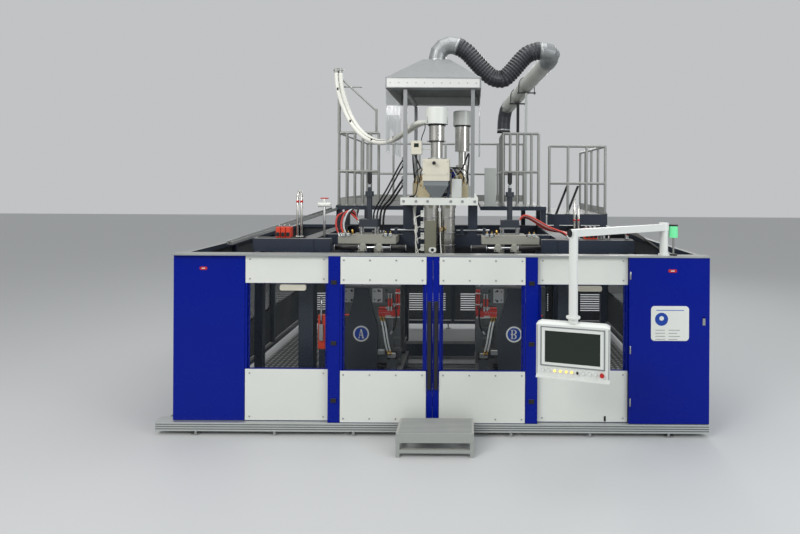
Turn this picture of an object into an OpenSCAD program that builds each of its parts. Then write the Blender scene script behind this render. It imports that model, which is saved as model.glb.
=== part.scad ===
// Double station extrusion blow moulding machine with a guard, two shuttling mould carriages, a twin die
// head, an extruder deck, a fume hood with its duct, a material loader and an operator panel on an arm.
// X = 0 is the line where the doors meet, Z = 0 the floor, and -Y is the operator's side.

/* [Guard] */
// Height of the guard's top edge
guard_top = 2054; // [1950:1:2150]
// Height of the guard panels' bottom edge
guard_bottom = 155; // [153:1:200]
// Height of the window sills
sill_z = 750; // [650:1:850]
// Height of the window heads
head_z = 1735; // [1600:1:1800]
// Depth of the guard from front to rear
guard_depth = 4800; // [4700:1:5000]
// Width of a door's window leaf
door_w = 985; // [950:1:1000]
// Width of a door's outer stile
stile_w = 135; // [110:1:150]
// Width of a door's meeting stile
meeting_w = 66; // [60:1:80]
// Width of the left fixed panel
fixed_left_w = 960; // [900:1:980]
// Width of the right fixed panel
fixed_right_w = 1040; // [1000:1:1060]
// Width of the left corner panel
corner_left_w = 822; // [780:1:860]
// Width of the right corner panel, which is the cabinet door
corner_right_w = 921; // [900:1:960]
// Gap between neighbouring panels
panel_gap = 5; // [4:0.5:8]
// Depth of a folded panel
tray_d = 20; // [15:1:24]
// Sheet thickness of the panels
sheet_t = 2.5; // [1.5:0.5:4]
// Thickness of the window panes
pane_t = 5; // [3:0.5:8]
// Width of a window's jamb
jamb_w = 22; // [18:1:30]
// Depth of a door
door_d = 38; // [36:1:42]
// Side of the guard frame's square tube
post_w = 60; // [50:1:60]
// Height of the door handle strip
handle_h = 1000; // [600:1:1100]
// Height of the front sill beam's top
sill_top = 150; // [140:1:150]
// Depth of the front sill beam
sill_d = 155; // [155:1:165]

/* [Carriages] */
// Distance of a blow station from the die head, which is also the carriage stroke
station_x = 920; // [915:1:940]
// Width of a mould platen
platen_w = 880; // [820:1:885]
// Thickness of a mould platen
platen_t = 80; // [60:1:90]
// Height of the platens' top edge
platen_top = 1585; // [1560:1:1590]
// Height of the platens' bottom edge
platen_bottom = 620; // [600:1:650]
// Thickness of half a mould
mould_t = 180; // [150:1:185]
// Width of a mould
mould_w = 700; // [600:1:760]
// Height of a mould
mould_h = 640; // [560:1:700]
// Opening travel of each mould half
open_travel = 200; // [180:1:205]
// Diameter of the clamp's tie bars
tie_d = 60; // [50:1:70]
// Diameter of the clamp cylinder
clamp_d = 220; // [180:1:240]
// Diameter of the clamp's piston rod
clamp_rod_d = 90; // [70:1:110]
// Distance between the two parisons
parison_pitch = 220; // [210:1:230]

/* [Head and extruder] */
// Diameter of a die head
head_d = 184; // [160:1:190]
// Height of a die head's lower face
head_bottom = 1640; // [1630:1:1700]
// Height of the extruder bed's underside
bed_z = 2611; // [2580:1:2640]
// Thickness of the extruder bed
bed_t = 95; // [80:1:110]
// Diameter of the insulated barrel
barrel_d = 230; // [200:1:250]
// Diameter of the extruder screw
screw_d = 90; // [70:1:100]
// Width of the hopper box
hopper_w = 340; // [300:1:360]
// Diameter of the loader's body
loader_d = 200; // [170:1:220]

/* [Hood and duct] */
// Width of the fume hood
hood_w = 1242; // [1180:1:1260]
// Depth of the fume hood
hood_depth = 1700; // [1600:1:1750]
// Height of the hood's lower rim
hood_z = 4133; // [4100:1:4160]
// Height of the hood's rim band
hood_rim_h = 137; // [120:1:150]
// Height of the hood's pyramid
hood_rise = 380; // [340:1:400]
// Diameter of the fume duct
duct_d = 250; // [220:1:260]
// Thickness of the duct's wall
duct_wall = 3; // [2:0.5:5]
// Side of a hood leg
leg_w = 50; // [40:1:60]

/* [Operator panel] */
// Height of the arm
arm_z = 2400; // [2350:1:2450]
// Distance of the arm's elbow in front of the guard
arm_reach = 720; // [700:1:740]
// Place of the arm's post along the front
arm_post_x = 2665; // [2600:1:2700]
// Place of the arm's elbow along the front
arm_elbow_x = 1471; // [1440:1:1500]
// Side of the arm's tube
arm_w = 74; // [60:1:80]
// Width of the operator panel
hmi_w = 730; // [700:1:760]
// Height of the operator panel
hmi_h = 560; // [540:1:580]
// Depth of the operator panel
hmi_d = 120; // [100:1:130]
// Height of the operator panel's lower edge
hmi_z = 935; // [900:1:960]
// Turn of the operator panel towards the doors
hmi_yaw = 16; // [0:1:20]

/* [Platform] */
// Height of the platform's top
deck_z = 2540; // [2520:1:2560]
// Height of the handrails
rail_z = 3660; // [3600:1:3700]
// Height of the middle rails
mid_rail_z = 3070; // [3000:1:3120]
// Diameter of the handrail tube
rail_d = 42; // [34:1:48]
// Width of the front step
step_w = 826; // [780:1:860]
// Height of the front step
step_h = 256; // [240:1:280]

/* [Hidden] */
$fn = 48;
gap = 0.5;
seat = 0.02;
seam = 0.5;
moulding_x = 20;
ledge_d = 22;
hmi_front = arm_reach + hmi_w / 2 * sin(hmi_yaw) + (hmi_d / 2 + ledge_d) * cos(hmi_yaw);
front_y = (hmi_front - guard_depth) / 2;
rear_y = front_y + guard_depth;
meet_x = panel_gap / 2;
leaf_x = meet_x + meeting_w + panel_gap;
leaf_end = leaf_x + door_w;
stile_x = leaf_end + panel_gap;
stile_end = stile_x + stile_w;
fixed_x = stile_end + panel_gap;
fixed_left_end = fixed_x + fixed_left_w;
fixed_right_end = fixed_x + fixed_right_w;
left_x = fixed_left_end + panel_gap + corner_left_w;
right_x = fixed_right_end + panel_gap + corner_right_w;
panel_y = front_y + 50;
frame_y = panel_y + 40;
door_travel = fixed_left_w + 20;
sill_z0 = sill_top - 100;
belt_y0 = front_y + sill_d + 8;
belt_y1 = belt_y0 + 300;
roller_x = 3080;
roller_z = 100;
roller_d = 70;
cap_z = guard_top + 3;
cap_t = 20;
cap_top = cap_z + cap_t;

mould_y = front_y + 950;
base_z = 60;
base_h = 200;
base_w = 160;
column_x = 1600;
column_w = 180;
frame_rear_y = mould_y + 1900;
beam_z = 2040;
beam_h = 160;
beam_top = beam_z + beam_h;
rail_h = 50;
rail_w = 45;
rail_off = 350;
frame_front_y = mould_y - rail_off;
rail_rear_y = mould_y + 650;
cross_y = mould_y + 250;
cross_w = 140;
sled_z = base_z + base_h + rail_h + 20;
sled_t = 110;
mould_z = platen_top - 30 - mould_h;

blue = "mediumblue";
pale = "gainsboro";
slate = "darkslategray";
steel = "silver";
zinc = "lightgray";
dark = "dimgray";
cream = "linen";

// Two values on each side of c
function about(c, r) = [c + r[0], c + r[1]];

// Box between two values on each axis
module block(x, y, z) translate([x[0], y[0], z[0]]) cube([x[1] - x[0], y[1] - y[0], z[1] - z[0]]);

// Round bars along each axis, centred on their line
module bar_x(x, y, z, d) translate([x[0], y, z]) rotate([0, 90, 0]) cylinder(d = d, h = x[1] - x[0]);
module bar_y(x, y, z, d) translate([x, y[0], z]) rotate([-90, 0, 0]) cylinder(d = d, h = y[1] - y[0]);
module bar_z(x, y, z, d) translate([x, y, z[0]]) cylinder(d = d, h = z[1] - z[0]);

// Folded sheet tray, open at the back, whose outer face is at y
module tray(x, z, y, d = tray_d) difference() {
    block(x, [y, y + d], z);
    block([x[0] + sheet_t, x[1] - sheet_t], [y + sheet_t, y + d + 1], [z[0] + sheet_t, z[1] - sheet_t]);
}

// White panel over and under a window, its blue jambs and the flat bars that join them
module window_leaf(x, y) {
    back = y + tray_d;
    color(pale) {
        tray(x, [head_z, guard_top], y);
        tray(x, [guard_bottom, sill_z], y);
    }
    color(blue) difference() {
        union() {
            for (px = [x[0], x[1] - jamb_w]) block([px, px + jamb_w], [y, back], [sill_z, head_z]);
            for (pz = [guard_top - post_w, head_z, sill_z - post_w, guard_bottom])
                block(x, [back, y + door_d], [pz, pz + post_w]);
            for (px = [x[0], x[1] - 2 * jamb_w])
                block([px, px + 2 * jamb_w], [back, y + door_d], [guard_bottom, guard_top]);
        }
        window_space(x, y, gap);
    }
}

// The pane's place in a leaf, with a clearance round it
module window_space(x, y, c = 0)
    block([x[0] + 8 - c, x[1] - 8 + c], [y + tray_d, y + tray_d + pane_t + c],
        [sill_z - 20 - c, head_z + 20 + c]);

module guard_door(travel_side) {
    lug_w = 60;
    window_leaf([leaf_x, leaf_end], front_y);
    color(blue) {
        tray([stile_x, stile_end], [guard_bottom, guard_top], front_y);
        tray([meet_x, meet_x + meeting_w], [guard_bottom, guard_top], front_y);
        for (pz = [guard_top - post_w, head_z, sill_z - post_w, guard_bottom])
            block([meet_x, stile_end], [front_y + tray_d + pane_t + 1, front_y + door_d], [pz, pz + post_w]);
        for (px = [meet_x, stile_x]) for (pz = [guard_top - post_w, guard_bottom])
            block([px, px + meeting_w], [front_y + tray_d, front_y + door_d], [pz, pz + post_w]);
    }
    color("black") for (px = [leaf_x + 40, leaf_end - 40 - lug_w]) {
        block([px, px + lug_w], [front_y + 26, front_y + 34], [guard_top, cap_z + 10]);
        block([px, px + lug_w], [front_y + 6, front_y + 34], [sill_top + gap, guard_bottom]);
    }
}

module door_a() mirror([1, 0, 0]) guard_door();
module door_b() guard_door();

module door_pane() color("lightsteelblue", 0.4) window_space([leaf_x, leaf_end], front_y);
module door_a_window() mirror([1, 0, 0]) door_pane();
module door_b_window() door_pane();

// Grip strip on the meeting stile and the pads on the outer stile
module door_grip() color("black") {
    grip_w = 40;
    grip_d = 26;
    pad_w = 62;
    pad_h = 45;
    mid = (guard_bottom + guard_top) / 2 - 60;
    block([meet_x + meeting_w - grip_w - 10, meet_x + meeting_w - 10], [front_y - grip_d, front_y],
        [mid - handle_h / 2, mid + handle_h / 2]);
    for (pz = [guard_top - 298, mid + 18, guard_bottom + 252])
        block([(stile_x + stile_end - pad_w) / 2, (stile_x + stile_end + pad_w) / 2],
            [front_y - 12, front_y], [pz - pad_h / 2, pz + pad_h / 2]);
}
module door_a_handle() mirror([1, 0, 0]) door_grip();
module door_b_handle() door_grip();

module fixed_panels() {
    for (x = [[-fixed_left_end, -fixed_x], [fixed_x, fixed_right_end]]) window_leaf(x, panel_y);
    color(blue) for (x = [-fixed_left_end, -fixed_x - jamb_w, fixed_x, fixed_right_end - jamb_w])
        block([x, x + jamb_w], [panel_y + door_d, frame_y], [guard_bottom, guard_top]);
}

module fixed_windows() color("lightsteelblue", 0.4) {
    for (x = [[-fixed_left_end, -fixed_x], [fixed_x, fixed_right_end]]) window_space(x, panel_y);
    for (side = [-left_x + sheet_t + gap, right_x - sheet_t - gap - pane_t]) for (n = [1, 2])
        block([side, side + pane_t], [bay_y(n) + 30, min(bay_y(n + 1) - 34, rear_y - 66)],
            [sill_z - 20, head_z + 20]);
}

// Start of a side bay, counted from the front
function bay_y(n) = frame_y + n * (rear_y - frame_y) / 3;

// Blue corner panel, the side walls with their windows and vents, and the rear wall
module enclosure_panels() {
    color(blue) tray([-left_x, -fixed_left_end - panel_gap], [guard_bottom, guard_top], panel_y, 40);
    for (x = [-left_x, right_x - sheet_t]) {
        color(blue) block([x, x + sheet_t], [frame_y + seam, bay_y(1) - panel_gap],
        [guard_bottom, guard_top]);
        for (n = [1, 2]) color(pale) difference() {
            block([x, x + sheet_t], [bay_y(n), bay_y(n + 1) - panel_gap], [guard_bottom, guard_top]);
            block([x - 1, x + sheet_t + 1], [bay_y(n) + 60, bay_y(n + 1) - 80], [sill_z, head_z]);
        }
    }
    for (n = [0:5]) color(n == 0 || n == 5 ? blue : pale) difference() {
        w = (left_x + right_x) / 6;
        x = -left_x + n * w;
        block([x, x + w - panel_gap], [rear_y - sheet_t, rear_y], [guard_bottom, guard_top]);
        for (k = [0:7]) block([x + 150, x + w - 150], [rear_y - 10, rear_y + 1],
            [350 + 45 * k, 368 + 45 * k]);
    }
}

module guard_frame() {
    tube = frame_y + post_w;
    left = -left_x + sheet_t;
    right = right_x - sheet_t;
    rear = rear_y - sheet_t;
    color(slate) {
        for (x = [left, -fixed_left_end - post_w, -stile_end + 35, stile_end - 35 - post_w,
            fixed_right_end - 15, right - post_w])
            block([x, x + post_w], [frame_y, tube], [sill_top, cap_z]);
        block([left, right], [frame_y, tube], [cap_z - post_w, cap_z]);
        for (x = [left, right - post_w]) {
            block([x, x + post_w], [belt_y1 + 25, rear], [sill_top - post_w, sill_top]);
            block([x, x + post_w], [tube, rear], [cap_z - post_w, cap_z]);
            for (n = [1, 2]) block([x, x + post_w], [bay_y(n) - 32, bay_y(n) + 28], [sill_top, cap_z]);
        }
        for (n = [0:6]) let (x = left + n * (right - left - post_w) / 6)
            block([x, x + post_w], [rear - post_w, rear], [sill_top - post_w, cap_z]);
        for (z = [sill_top - post_w, cap_z - post_w]) block([left, right], [rear - post_w, rear],
            [z, z + post_w]);
    }
    color(steel) difference() {
        block([-left_x, right_x], [front_y, tube], [cap_z, cap_top]);
        block([-left_x - 1, right_x + 1], [front_y + 24, front_y + 36], [cap_z - 1, cap_z + 13]);
    }
}

// Extruded aluminium beam with grooves, which carries the front posts and the doors' shoes, and the flash
// conveyor's rear side plate tied to it
module front_sill() color(zinc) difference() {
    union() {
        block([-right_x, right_x - sheet_t], [front_y - 4, front_y + sill_d], [sill_z0, sill_top]);
        block([-right_x, right_x - sheet_t], [belt_y1 + 8, belt_y1 + 18], [sill_z0, sill_top]);
        for (x = [-1800, 0, 1800]) block([x, x + 60], [front_y + sill_d, belt_y1 + 8], [88, 112]);
    }
    for (z = [sill_z0 + 18, sill_z0 + 44, sill_z0 + 70])
        block([-right_x - 1, right_x + 1], [front_y - 5, front_y + 6], [z, z + 12]);
}

module levelling_feet() color(steel) {
    for (x = [-2725, 2725]) foot(x, front_y + 50, sill_z0);
    for (x = [-left_x + 52, 0, right_x - 52]) foot(x, rear_y - 52, sill_top - post_w);
    for (x = [-column_x, column_x]) for (y = [frame_front_y, frame_rear_y]) foot(x, y, base_z);
    for (x = [-2200, 2400]) foot(x, frame_front_y, base_z);
    for (x = [-1000, 1000]) foot(x, front_y + 100, sill_z0);
}

// Round pad, threaded stem and lock nut up to the height z
module foot(x, y, z) translate([x, y, 0]) {
    cylinder(d = 100, h = 16);
    cylinder(d = 24, h = z);
    translate([0, 0, z - 14]) cylinder(d = 40, h = 14, $fn = 6);
}

// Latch paddle's place on the cabinet door
latch_x = right_x - 66;
latch_z = 1325;
latch_w = 30;
latch_h = 78;
cabinet_y = front_y + 12;

module cabinet_door() color(blue) {
    pocket_x = [latch_x - latch_w / 2 - gap, latch_x + latch_w / 2 + gap];
    pocket_z = [latch_z - latch_h / 2 - gap, latch_z + latch_h / 2 + 15];
    difference() {
        union() {
            tray([fixed_right_end + panel_gap, right_x], [guard_bottom, guard_top], cabinet_y,
                frame_y - gap - cabinet_y);
            block(pocket_x + [-6, 6], [cabinet_y, cabinet_y + 26], pocket_z + [-6, 6]);
        }
        block(pocket_x, [front_y, cabinet_y + 20], pocket_z);
    }
}

module cabinet_latch() color(steel) {
    block([latch_x - latch_w / 2, latch_x + latch_w / 2], [cabinet_y - 6, cabinet_y + 13],
        [latch_z - latch_h / 2, latch_z + latch_h / 2]);
}

// Height of the brackets that hold the guard posts, below the cap rail and the top beams
bracket_z = min(cap_z - 50, beam_z - 33);

// Painted base, columns and top beams, and the carriage rails
module machine_frame() {
    half = column_w / 2;
    base_top = base_z + base_h;
    color(slate) {
        for (y = [frame_front_y, rail_rear_y, frame_rear_y])
            block([-column_x - half, column_x + half], [y - base_w / 2, y + base_w / 2], [base_z, base_top]);
        for (x = [-column_x, column_x]) {
            block([x - half, x + half], [frame_front_y - base_w / 2, frame_rear_y + half],
                [base_z, base_top]);
            block([x - half, x + half], [frame_front_y - half, frame_rear_y + half], [beam_z, beam_top]);
            for (y = [frame_front_y, frame_rear_y])
                block([x - half, x + half], [y - half, y + half], [base_z, beam_z]);
        }
        for (y = [cross_y, frame_rear_y])
            block([-column_x, column_x], [y - cross_w / 2, y + cross_w / 2], [beam_z, beam_top]);
        for (x = [[-2250, -column_x], [column_x, 2450]]) {
            for (z = [[base_z, base_top], [beam_z, beam_top]])
                block(x, [frame_front_y - base_w / 2, frame_front_y + base_w / 2], z);
            post = x[0] < -column_x ? x[0] : x[1] - 100;
            block([post, post + 100], [frame_front_y - 50, frame_front_y + 50], [base_z, beam_z]);
            block([post + 20, post + 80], [frame_y + post_w, frame_front_y - 50],
            [bracket_z, bracket_z + 30]);
        }
        for (x = [-column_x + half, column_x - half - 200])
            block([x, x + 200], [frame_front_y - base_w / 2, frame_front_y + 40], [beam_z, beam_top]);
    }
    color(steel) for (y = [frame_front_y, rail_rear_y])
        block([-1480, 1480], [y - rail_w / 2, y + rail_w / 2], [base_top, base_top + rail_h]);
}

// The slide rails of the platens lie this far each side of the carriage's middle
platen_rail_x = 340;
platen_rail_h = 35;
sled_top = sled_z + sled_t;
yoke_y = mould_y + 700;
yoke_t = 90;

// Sled on the two long rails, with the platens' rails on it
module carriage(x) translate([x, 0, 0]) {
    base_top = base_z + base_h;
    color(slate) difference() {
        union() {
            block([-platen_w / 2, platen_w / 2], [frame_front_y - 150, mould_y + 830], [sled_z, sled_top]);
            for (bx = [-platen_w / 2, platen_w / 2 - 170]) for (y = [frame_front_y, rail_rear_y])
                block([bx, bx + 170], [y - 60, y + 60], [base_top + 6, sled_z]);
        }
        for (y = [frame_front_y, rail_rear_y])
            block([-platen_w, platen_w], [y - rail_w / 2 - gap, y + rail_w / 2 + gap],
                [base_top, base_top + rail_h + gap]);
        block([-200, 200], [mould_y - 120, mould_y + 560], [sled_z - 1, sled_top + 1]);
    }
    color(steel) for (rx = [-platen_rail_x, platen_rail_x])
        block([rx - rail_w / 2, rx + rail_w / 2], [frame_front_y - 140, mould_y + 820],
            [sled_top, sled_top + platen_rail_h]);
}

// Feet that ride on the sled's rails, under a plate that stands between y[0] and y[1]
module platen_feet(y) difference() {
    for (rx = [-platen_rail_x, platen_rail_x])
        block([rx - 60, rx + 60], y, [sled_top + 5, platen_bottom]);
    for (rx = [-platen_rail_x, platen_rail_x])
        block([rx - rail_w / 2 - gap, rx + rail_w / 2 + gap], y + [-1, 1],
            [sled_top, sled_top + platen_rail_h + gap]);
}

module tie_bars(y, d) for (x = [-1, 1]) for (z = [platen_bottom + 70, platen_top - 55])
    bar_y(x * (platen_w / 2 - 45), y, z, d);

// Front platen: slotted plate, waisted cover plate, lug plates and the coolant manifold. out is the
// direction away from the die head
module front_platen(x, out) translate([x, 0, 0]) {
    back = mould_y - mould_t;
    face = back - platen_t;
    cover_t = 45;
    neck = 90;
    belly = 205;
    color(dark) difference() {
        union() {
            block([-platen_w / 2, platen_w / 2], [face, back], [platen_bottom, platen_top]);
            platen_feet([face, back]);
        }
        for (s = [-1, 1]) for (z = [660, 800, 940, 1080])
            translate([s * (belly + 110) - out * 40, face - 1, z]) cube([150, 41, 110]);
    }
    color(slate) translate([out * 40, face, 0]) rotate([90, 0, 0]) linear_extrude(cover_t)
        polygon([[-belly + 12, 540], [belly - 12, 540], [belly, 800], [belly, 1080], [neck + 55, 1260],
            [neck, 1490], [neck, platen_top - 5], [-neck, platen_top - 5], [-neck, 1490],
            [-neck - 55, 1260], [-belly, 1080], [-belly, 800]]);
    color(steel) for (c = [-out * 155, out * 205]) difference() {
        block([c - 64, c + 64], [face - 15, face], [1385, 1560]);
        for (hx = [-36, 36]) for (hz = [1420, 1525]) bar_y(c + hx, [face - 16, face + 1], hz, 22);
    }
    side = out > 0 ? [-platen_w / 2 + 2, -belly + 30] : [belly - 30, platen_w / 2 - 2];
    color("firebrick") block(side, [face - 55, face], [1235, 1303]);
    color(steel) block(side, [face - 30, face], [1195, 1212]);
    color("royalblue") translate([out * 40, face - cover_t, 1000]) rotate([90, 0, 0])
        cylinder(r = 100, h = 3);
}

// Rear platen with the clamp's piston rod
module rear_platen(x) translate([x, 0, 0]) {
    face = mould_y + mould_t;
    color(dark) difference() {
        union() {
            block([-platen_w / 2, platen_w / 2], [face, face + platen_t], [platen_bottom, platen_top]);
            platen_feet([face, face + platen_t]);
        }
        tie_bars([face - 1, face + platen_t + 1], tie_d + 4 * gap);
    }
    color(steel) bar_y(0, [face + platen_t, yoke_y + yoke_t + 30], clamp_z, clamp_rod_d);
    color(steel) bar_y(0, [yoke_y + yoke_t + 30, yoke_y + yoke_t + 70], clamp_z,
        clamp_d - 2 * clamp_wall - 1);
}
clamp_z = 1100;
clamp_wall = 20;

// Tie bars, crosshead and clamp cylinder, which the front platen pulls along
module clamp_yoke(x) translate([x, 0, 0]) {
    back = yoke_y + yoke_t;
    color(steel) tie_bars([mould_y - mould_t, yoke_y], tie_d);
    color(slate) difference() {
        union() {
            block([-platen_w / 2, platen_w / 2], [yoke_y, back], [platen_bottom, platen_top]);
            platen_feet([yoke_y, back]);
        }
        bar_y(0, [yoke_y - 1, back + 1], clamp_z, clamp_rod_d + 4 * gap);
    }
    color(dark) difference() {
        bar_y(0, [back, back + 2 * open_travel + 150], clamp_z, clamp_d);
        bar_y(0, [back - 1, back + 2 * open_travel + 130], clamp_z, clamp_d - 2 * clamp_wall);
    }
}

// Width and depth of a container pocket in a mould half
pocket_w = 170;
pocket_t = 75;

// Bore of the neck ring, which the blow pin enters
neck_d = 60;

// Half a mould: a backing plate, three cheeks, and for each of its two pockets a bottom insert and a
// neck ring half in two blocks. side is -1 in front of the parting plane
module mould_half(x, side) translate([x, mould_y, mould_z]) mirror([0, side < 0 ? 1 : 0, 0]) color(steel) {
    inner = (parison_pitch - pocket_w) / 2;
    outer = (parison_pitch + pocket_w) / 2;
    front = [gap / 2, pocket_t - seat];
    block([-mould_w / 2, mould_w / 2], [pocket_t, mould_t - seat], [0, mould_h]);
    block([-inner, inner], front, [0, mould_h]);
    for (cheek = [[-mould_w / 2, -outer], [outer, mould_w / 2]]) block(cheek, front, [0, mould_h]);
    for (s = [-1, 1]) translate([s * parison_pitch / 2, 0, 0]) {
        block([seat - pocket_w / 2, pocket_w / 2 - seat], front, [0, 70]);
        for (part = [[seat - pocket_w / 2, -seat], [seat, pocket_w / 2 - seat]]) difference() {
            block(part, front, [mould_h - 130, mould_h]);
            translate([0, 0, mould_h - 131]) cylinder(d = neck_d, h = 132);
        }
    }
}

module carriage_a() carriage(moulding_x - station_x);
module front_platen_a() front_platen(moulding_x - station_x, -1);
module rear_platen_a() rear_platen(moulding_x - station_x);
module clamp_yoke_a() clamp_yoke(moulding_x - station_x);
module mould_front_a() mould_half(moulding_x - station_x, -1);
module mould_rear_a() mould_half(moulding_x - station_x, 1);
module carriage_b() carriage(moulding_x + station_x);
module front_platen_b() front_platen(moulding_x + station_x, 1);
module rear_platen_b() rear_platen(moulding_x + station_x);
module clamp_yoke_b() clamp_yoke(moulding_x + station_x);
module mould_front_b() mould_half(moulding_x + station_x, -1);
module mould_rear_b() mould_half(moulding_x + station_x, 1);

// Heights in a blow unit
bridge_z = 2116;
bridge_top = 2206;
plate_top = 2226;
head_z0 = 2324;
head_z1 = 2421;
pin_d = 36;
blow_travel = 70;
blow_beam_y = mould_y - 175;

// Blow station on the cross beam: a cast bridge, pin guides, four posts, the head block and its cylinder
module blow_unit(x) translate([x, 0, 0]) {
    back = cross_y - cross_w / 2 - seat;
    color(zinc) {
        block([-370, 370], [blow_beam_y, blow_beam_y + 80], [bridge_z, bridge_top]);
        for (bx = [-370, 290]) block([bx, bx + 80], [blow_beam_y + 80, back], [bridge_z, bridge_top]);
        difference() {
            union() {
                block([-200, 200], [blow_beam_y, back], [bridge_top, plate_top]);
                for (px = [-1, 1]) translate([px * parison_pitch / 2, mould_y, 0])
                    block([-39, 39], [-60, 60], [1880, bridge_top]);
            }
            for (px = [-1, 1]) bar_z(px * parison_pitch / 2, mould_y, [1800, plate_top + 1], pin_d + 2);
        }
    }
    color(steel) for (px = [-1, 1]) for (py = [-1, 1])
        bar_z(px * 92, mould_y + py * 68, [plate_top, head_z0], 30);
    color("dimgray") difference() {
        union() {
            block([-118, 118], [mould_y - 92, mould_y + 92], [head_z0, head_z1]);
            bar_z(0, mould_y, [head_z1, 2719], 72);
            bar_z(0, mould_y, [2719, 2784], 112);
            bar_z(0, mould_y, [2784, 2838], 48);
        }
        bar_z(0, mould_y, [head_z0 - 1, head_z1 + 1], 27);
        bar_z(0, mould_y, [head_z1, 2700], 52);
    }
    color(steel) bar_z(0, mould_y, [2838, 2877], 40);
    color("black") {
        bar_z(0, mould_y, [2877, 2892], 34);
        bar_z(0, mould_y, [2892, 3035], 60);
    }
}

module blow_units() {
    for (s = [-1, 1]) blow_unit(moulding_x + s * station_x);
    color(steel) for (s = [-1, 1]) bar_x(about(moulding_x + s * 440, [-220, 220]), cross_y - 95, 2266, 26);
    color(dark) for (s = [-1, 1]) for (k = [-150, 150])
        block(about(moulding_x + s * 440 + k, [-20, 20]), [cross_y - 112, cross_y - 20], [beam_top, 2290]);
}

// Crosshead, piston rod and the two blow pins of a station
module blow_pins(x) translate([x, 0, 0]) color(steel) {
    block([-parison_pitch / 2 - 25, parison_pitch / 2 + 25], [mould_y - 25, mould_y + 25],
        [head_z0 - 26, head_z0 - 4]);
    for (s = [-1, 1]) bar_z(s * parison_pitch / 2, mould_y, [platen_top + 20, head_z0 - 26], pin_d);
    bar_z(0, mould_y, [head_z0 - 4, 2600], 25);
    bar_z(0, mould_y, [2600, 2630], 51);
}
module blow_pins_a() blow_pins(moulding_x - station_x);
module blow_pins_b() blow_pins(moulding_x + station_x);

// Two heads side by side under the bed, their flow block, and the heater sockets on the left one
module die_head() {
    head_x = [moulding_x - parison_pitch / 2, moulding_x + parison_pitch / 2];
    mandrel_bore = 60;
    color(steel) difference() {
        union() {
            for (x = head_x) {
                bar_z(x, mould_y, [head_bottom, bed_z], head_d);
                for (z = [1760, 1890, 2020, 2170, 2330]) bar_z(x, mould_y, [z, z + 24], head_d + 8);
                bar_z(x, mould_y, [bed_z - 40, bed_z], head_d + 20);
            }
            block([head_x[0], head_x[1]], [mould_y + 40, mould_y + 165], [2320, 2520]);
        }
        for (x = head_x) bar_z(x, mould_y, [head_bottom - 1, head_bottom + 300], mandrel_bore);
    }
    color("darkkhaki") block([head_x[0] - 71, head_x[0] + 71], [mould_y - head_d / 2 - 60,
        mould_y - head_d / 2 - 6], [1700, 2412]);
    color("darkkhaki") block([head_x[0] - 20, head_x[0] + 20], [mould_y - head_d / 2 - 6,
        mould_y - head_d / 2 + 8], [1720, 2390]);
    color("white") for (z = [2054, 2205, 2351, 2496])
        block([head_x[0] - head_d / 2 - 42, head_x[0] - head_d / 2 + 6], [mould_y - 50, mould_y - 5],
            [z - 42, z + 42]);
    color("white") difference() {
        translate([head_x[0] + 30, mould_y - head_d / 2 - 60, 2040]) rotate([90, 0, 0]) hull()
            for (s = [-1, 1]) translate([s * 18, 0, 0]) cylinder(d = 62, h = 30, $fn = 32);
    }
}

module die_mandrels() color("gold") for (s = [-1, 1])
    bar_z(moulding_x + s * parison_pitch / 2, mould_y, [head_bottom - 8, head_bottom + 240], 59);

// White bed with its four short columns and the side feet of the barrel
module extruder_bed() {
    col = [372, 500];
    rear = frame_rear_y;
    color("whitesmoke") block(about(moulding_x, [-502, 502]), [mould_y - 120, rear + 1000],
        [bed_z, bed_z + bed_t]);
    color(slate) for (s = [-1, 1]) for (y = [cross_y, rear])
        block(about(moulding_x, s < 0 ? [-col[1], -col[0]] : col), [y - cross_w / 2, y + cross_w / 2],
            [beam_top, bed_z]);
    color(slate) block(about(moulding_x, [-90, 90]), [barrel_y0 + 252, barrel_y0 + 288],
        [bed_z + bed_t, barrel_z - 75]);
}
barrel_z = bed_z + bed_t + 170;
barrel_y0 = mould_y + 420;
barrel_y1 = mould_y + 2250;

// Insulated barrel with its heater jackets, the cross manifold and the two lagged adaptors
module extruder_barrel() {
    top = bed_z + bed_t;
    color("beige") for (s = [-1, 1]) translate([moulding_x + s * 255, mould_y + 180, top]) {
        block([-115, 115], [-40, 170], [0, 190]);
        translate([0, 65, 190]) rotate([90, 0, 0]) translate([0, 0, -100]) cylinder(d = 220, h = 200);
    }
    color(steel) block(about(moulding_x, [-140, 140]), [mould_y + 170, mould_y + 250],
        [top + 60, barrel_z + 84]);
    color(dark) difference() {
        union() {
            bar_y(moulding_x, [mould_y + 250, barrel_y1], barrel_z, 150);
            for (k = [0:5]) bar_y(moulding_x, [barrel_y0 + 290 * k, barrel_y0 + 290 * k + 250],
                barrel_z, barrel_d);
        }
        bar_y(moulding_x, [mould_y + 280, barrel_y1 + 1], barrel_z, screw_d + 2 * gap);
        block(about(moulding_x, [-40, 40]), [barrel_y1 - 190, barrel_y1 - 110], [barrel_z, barrel_z + 200]);
    }
    color(steel) difference() {
        block(about(moulding_x, [-90, 90]), [barrel_y1 - 240, barrel_y1 - 60],
            [barrel_z + 70, barrel_z + 190]);
        block(about(moulding_x, [-40, 40]), [barrel_y1 - 190, barrel_y1 - 110], [barrel_z, barrel_z + 200]);
    }
}

module extruder_screw() color(steel) difference() {
    union() {
        bar_y(moulding_x, [mould_y + 290, barrel_y1 + 60], barrel_z, screw_d - 24);
        for (k = [0:19]) bar_y(moulding_x, [mould_y + 300 + 96 * k, mould_y + 315 + 96 * k], barrel_z,
            screw_d);
    }
}

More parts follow.
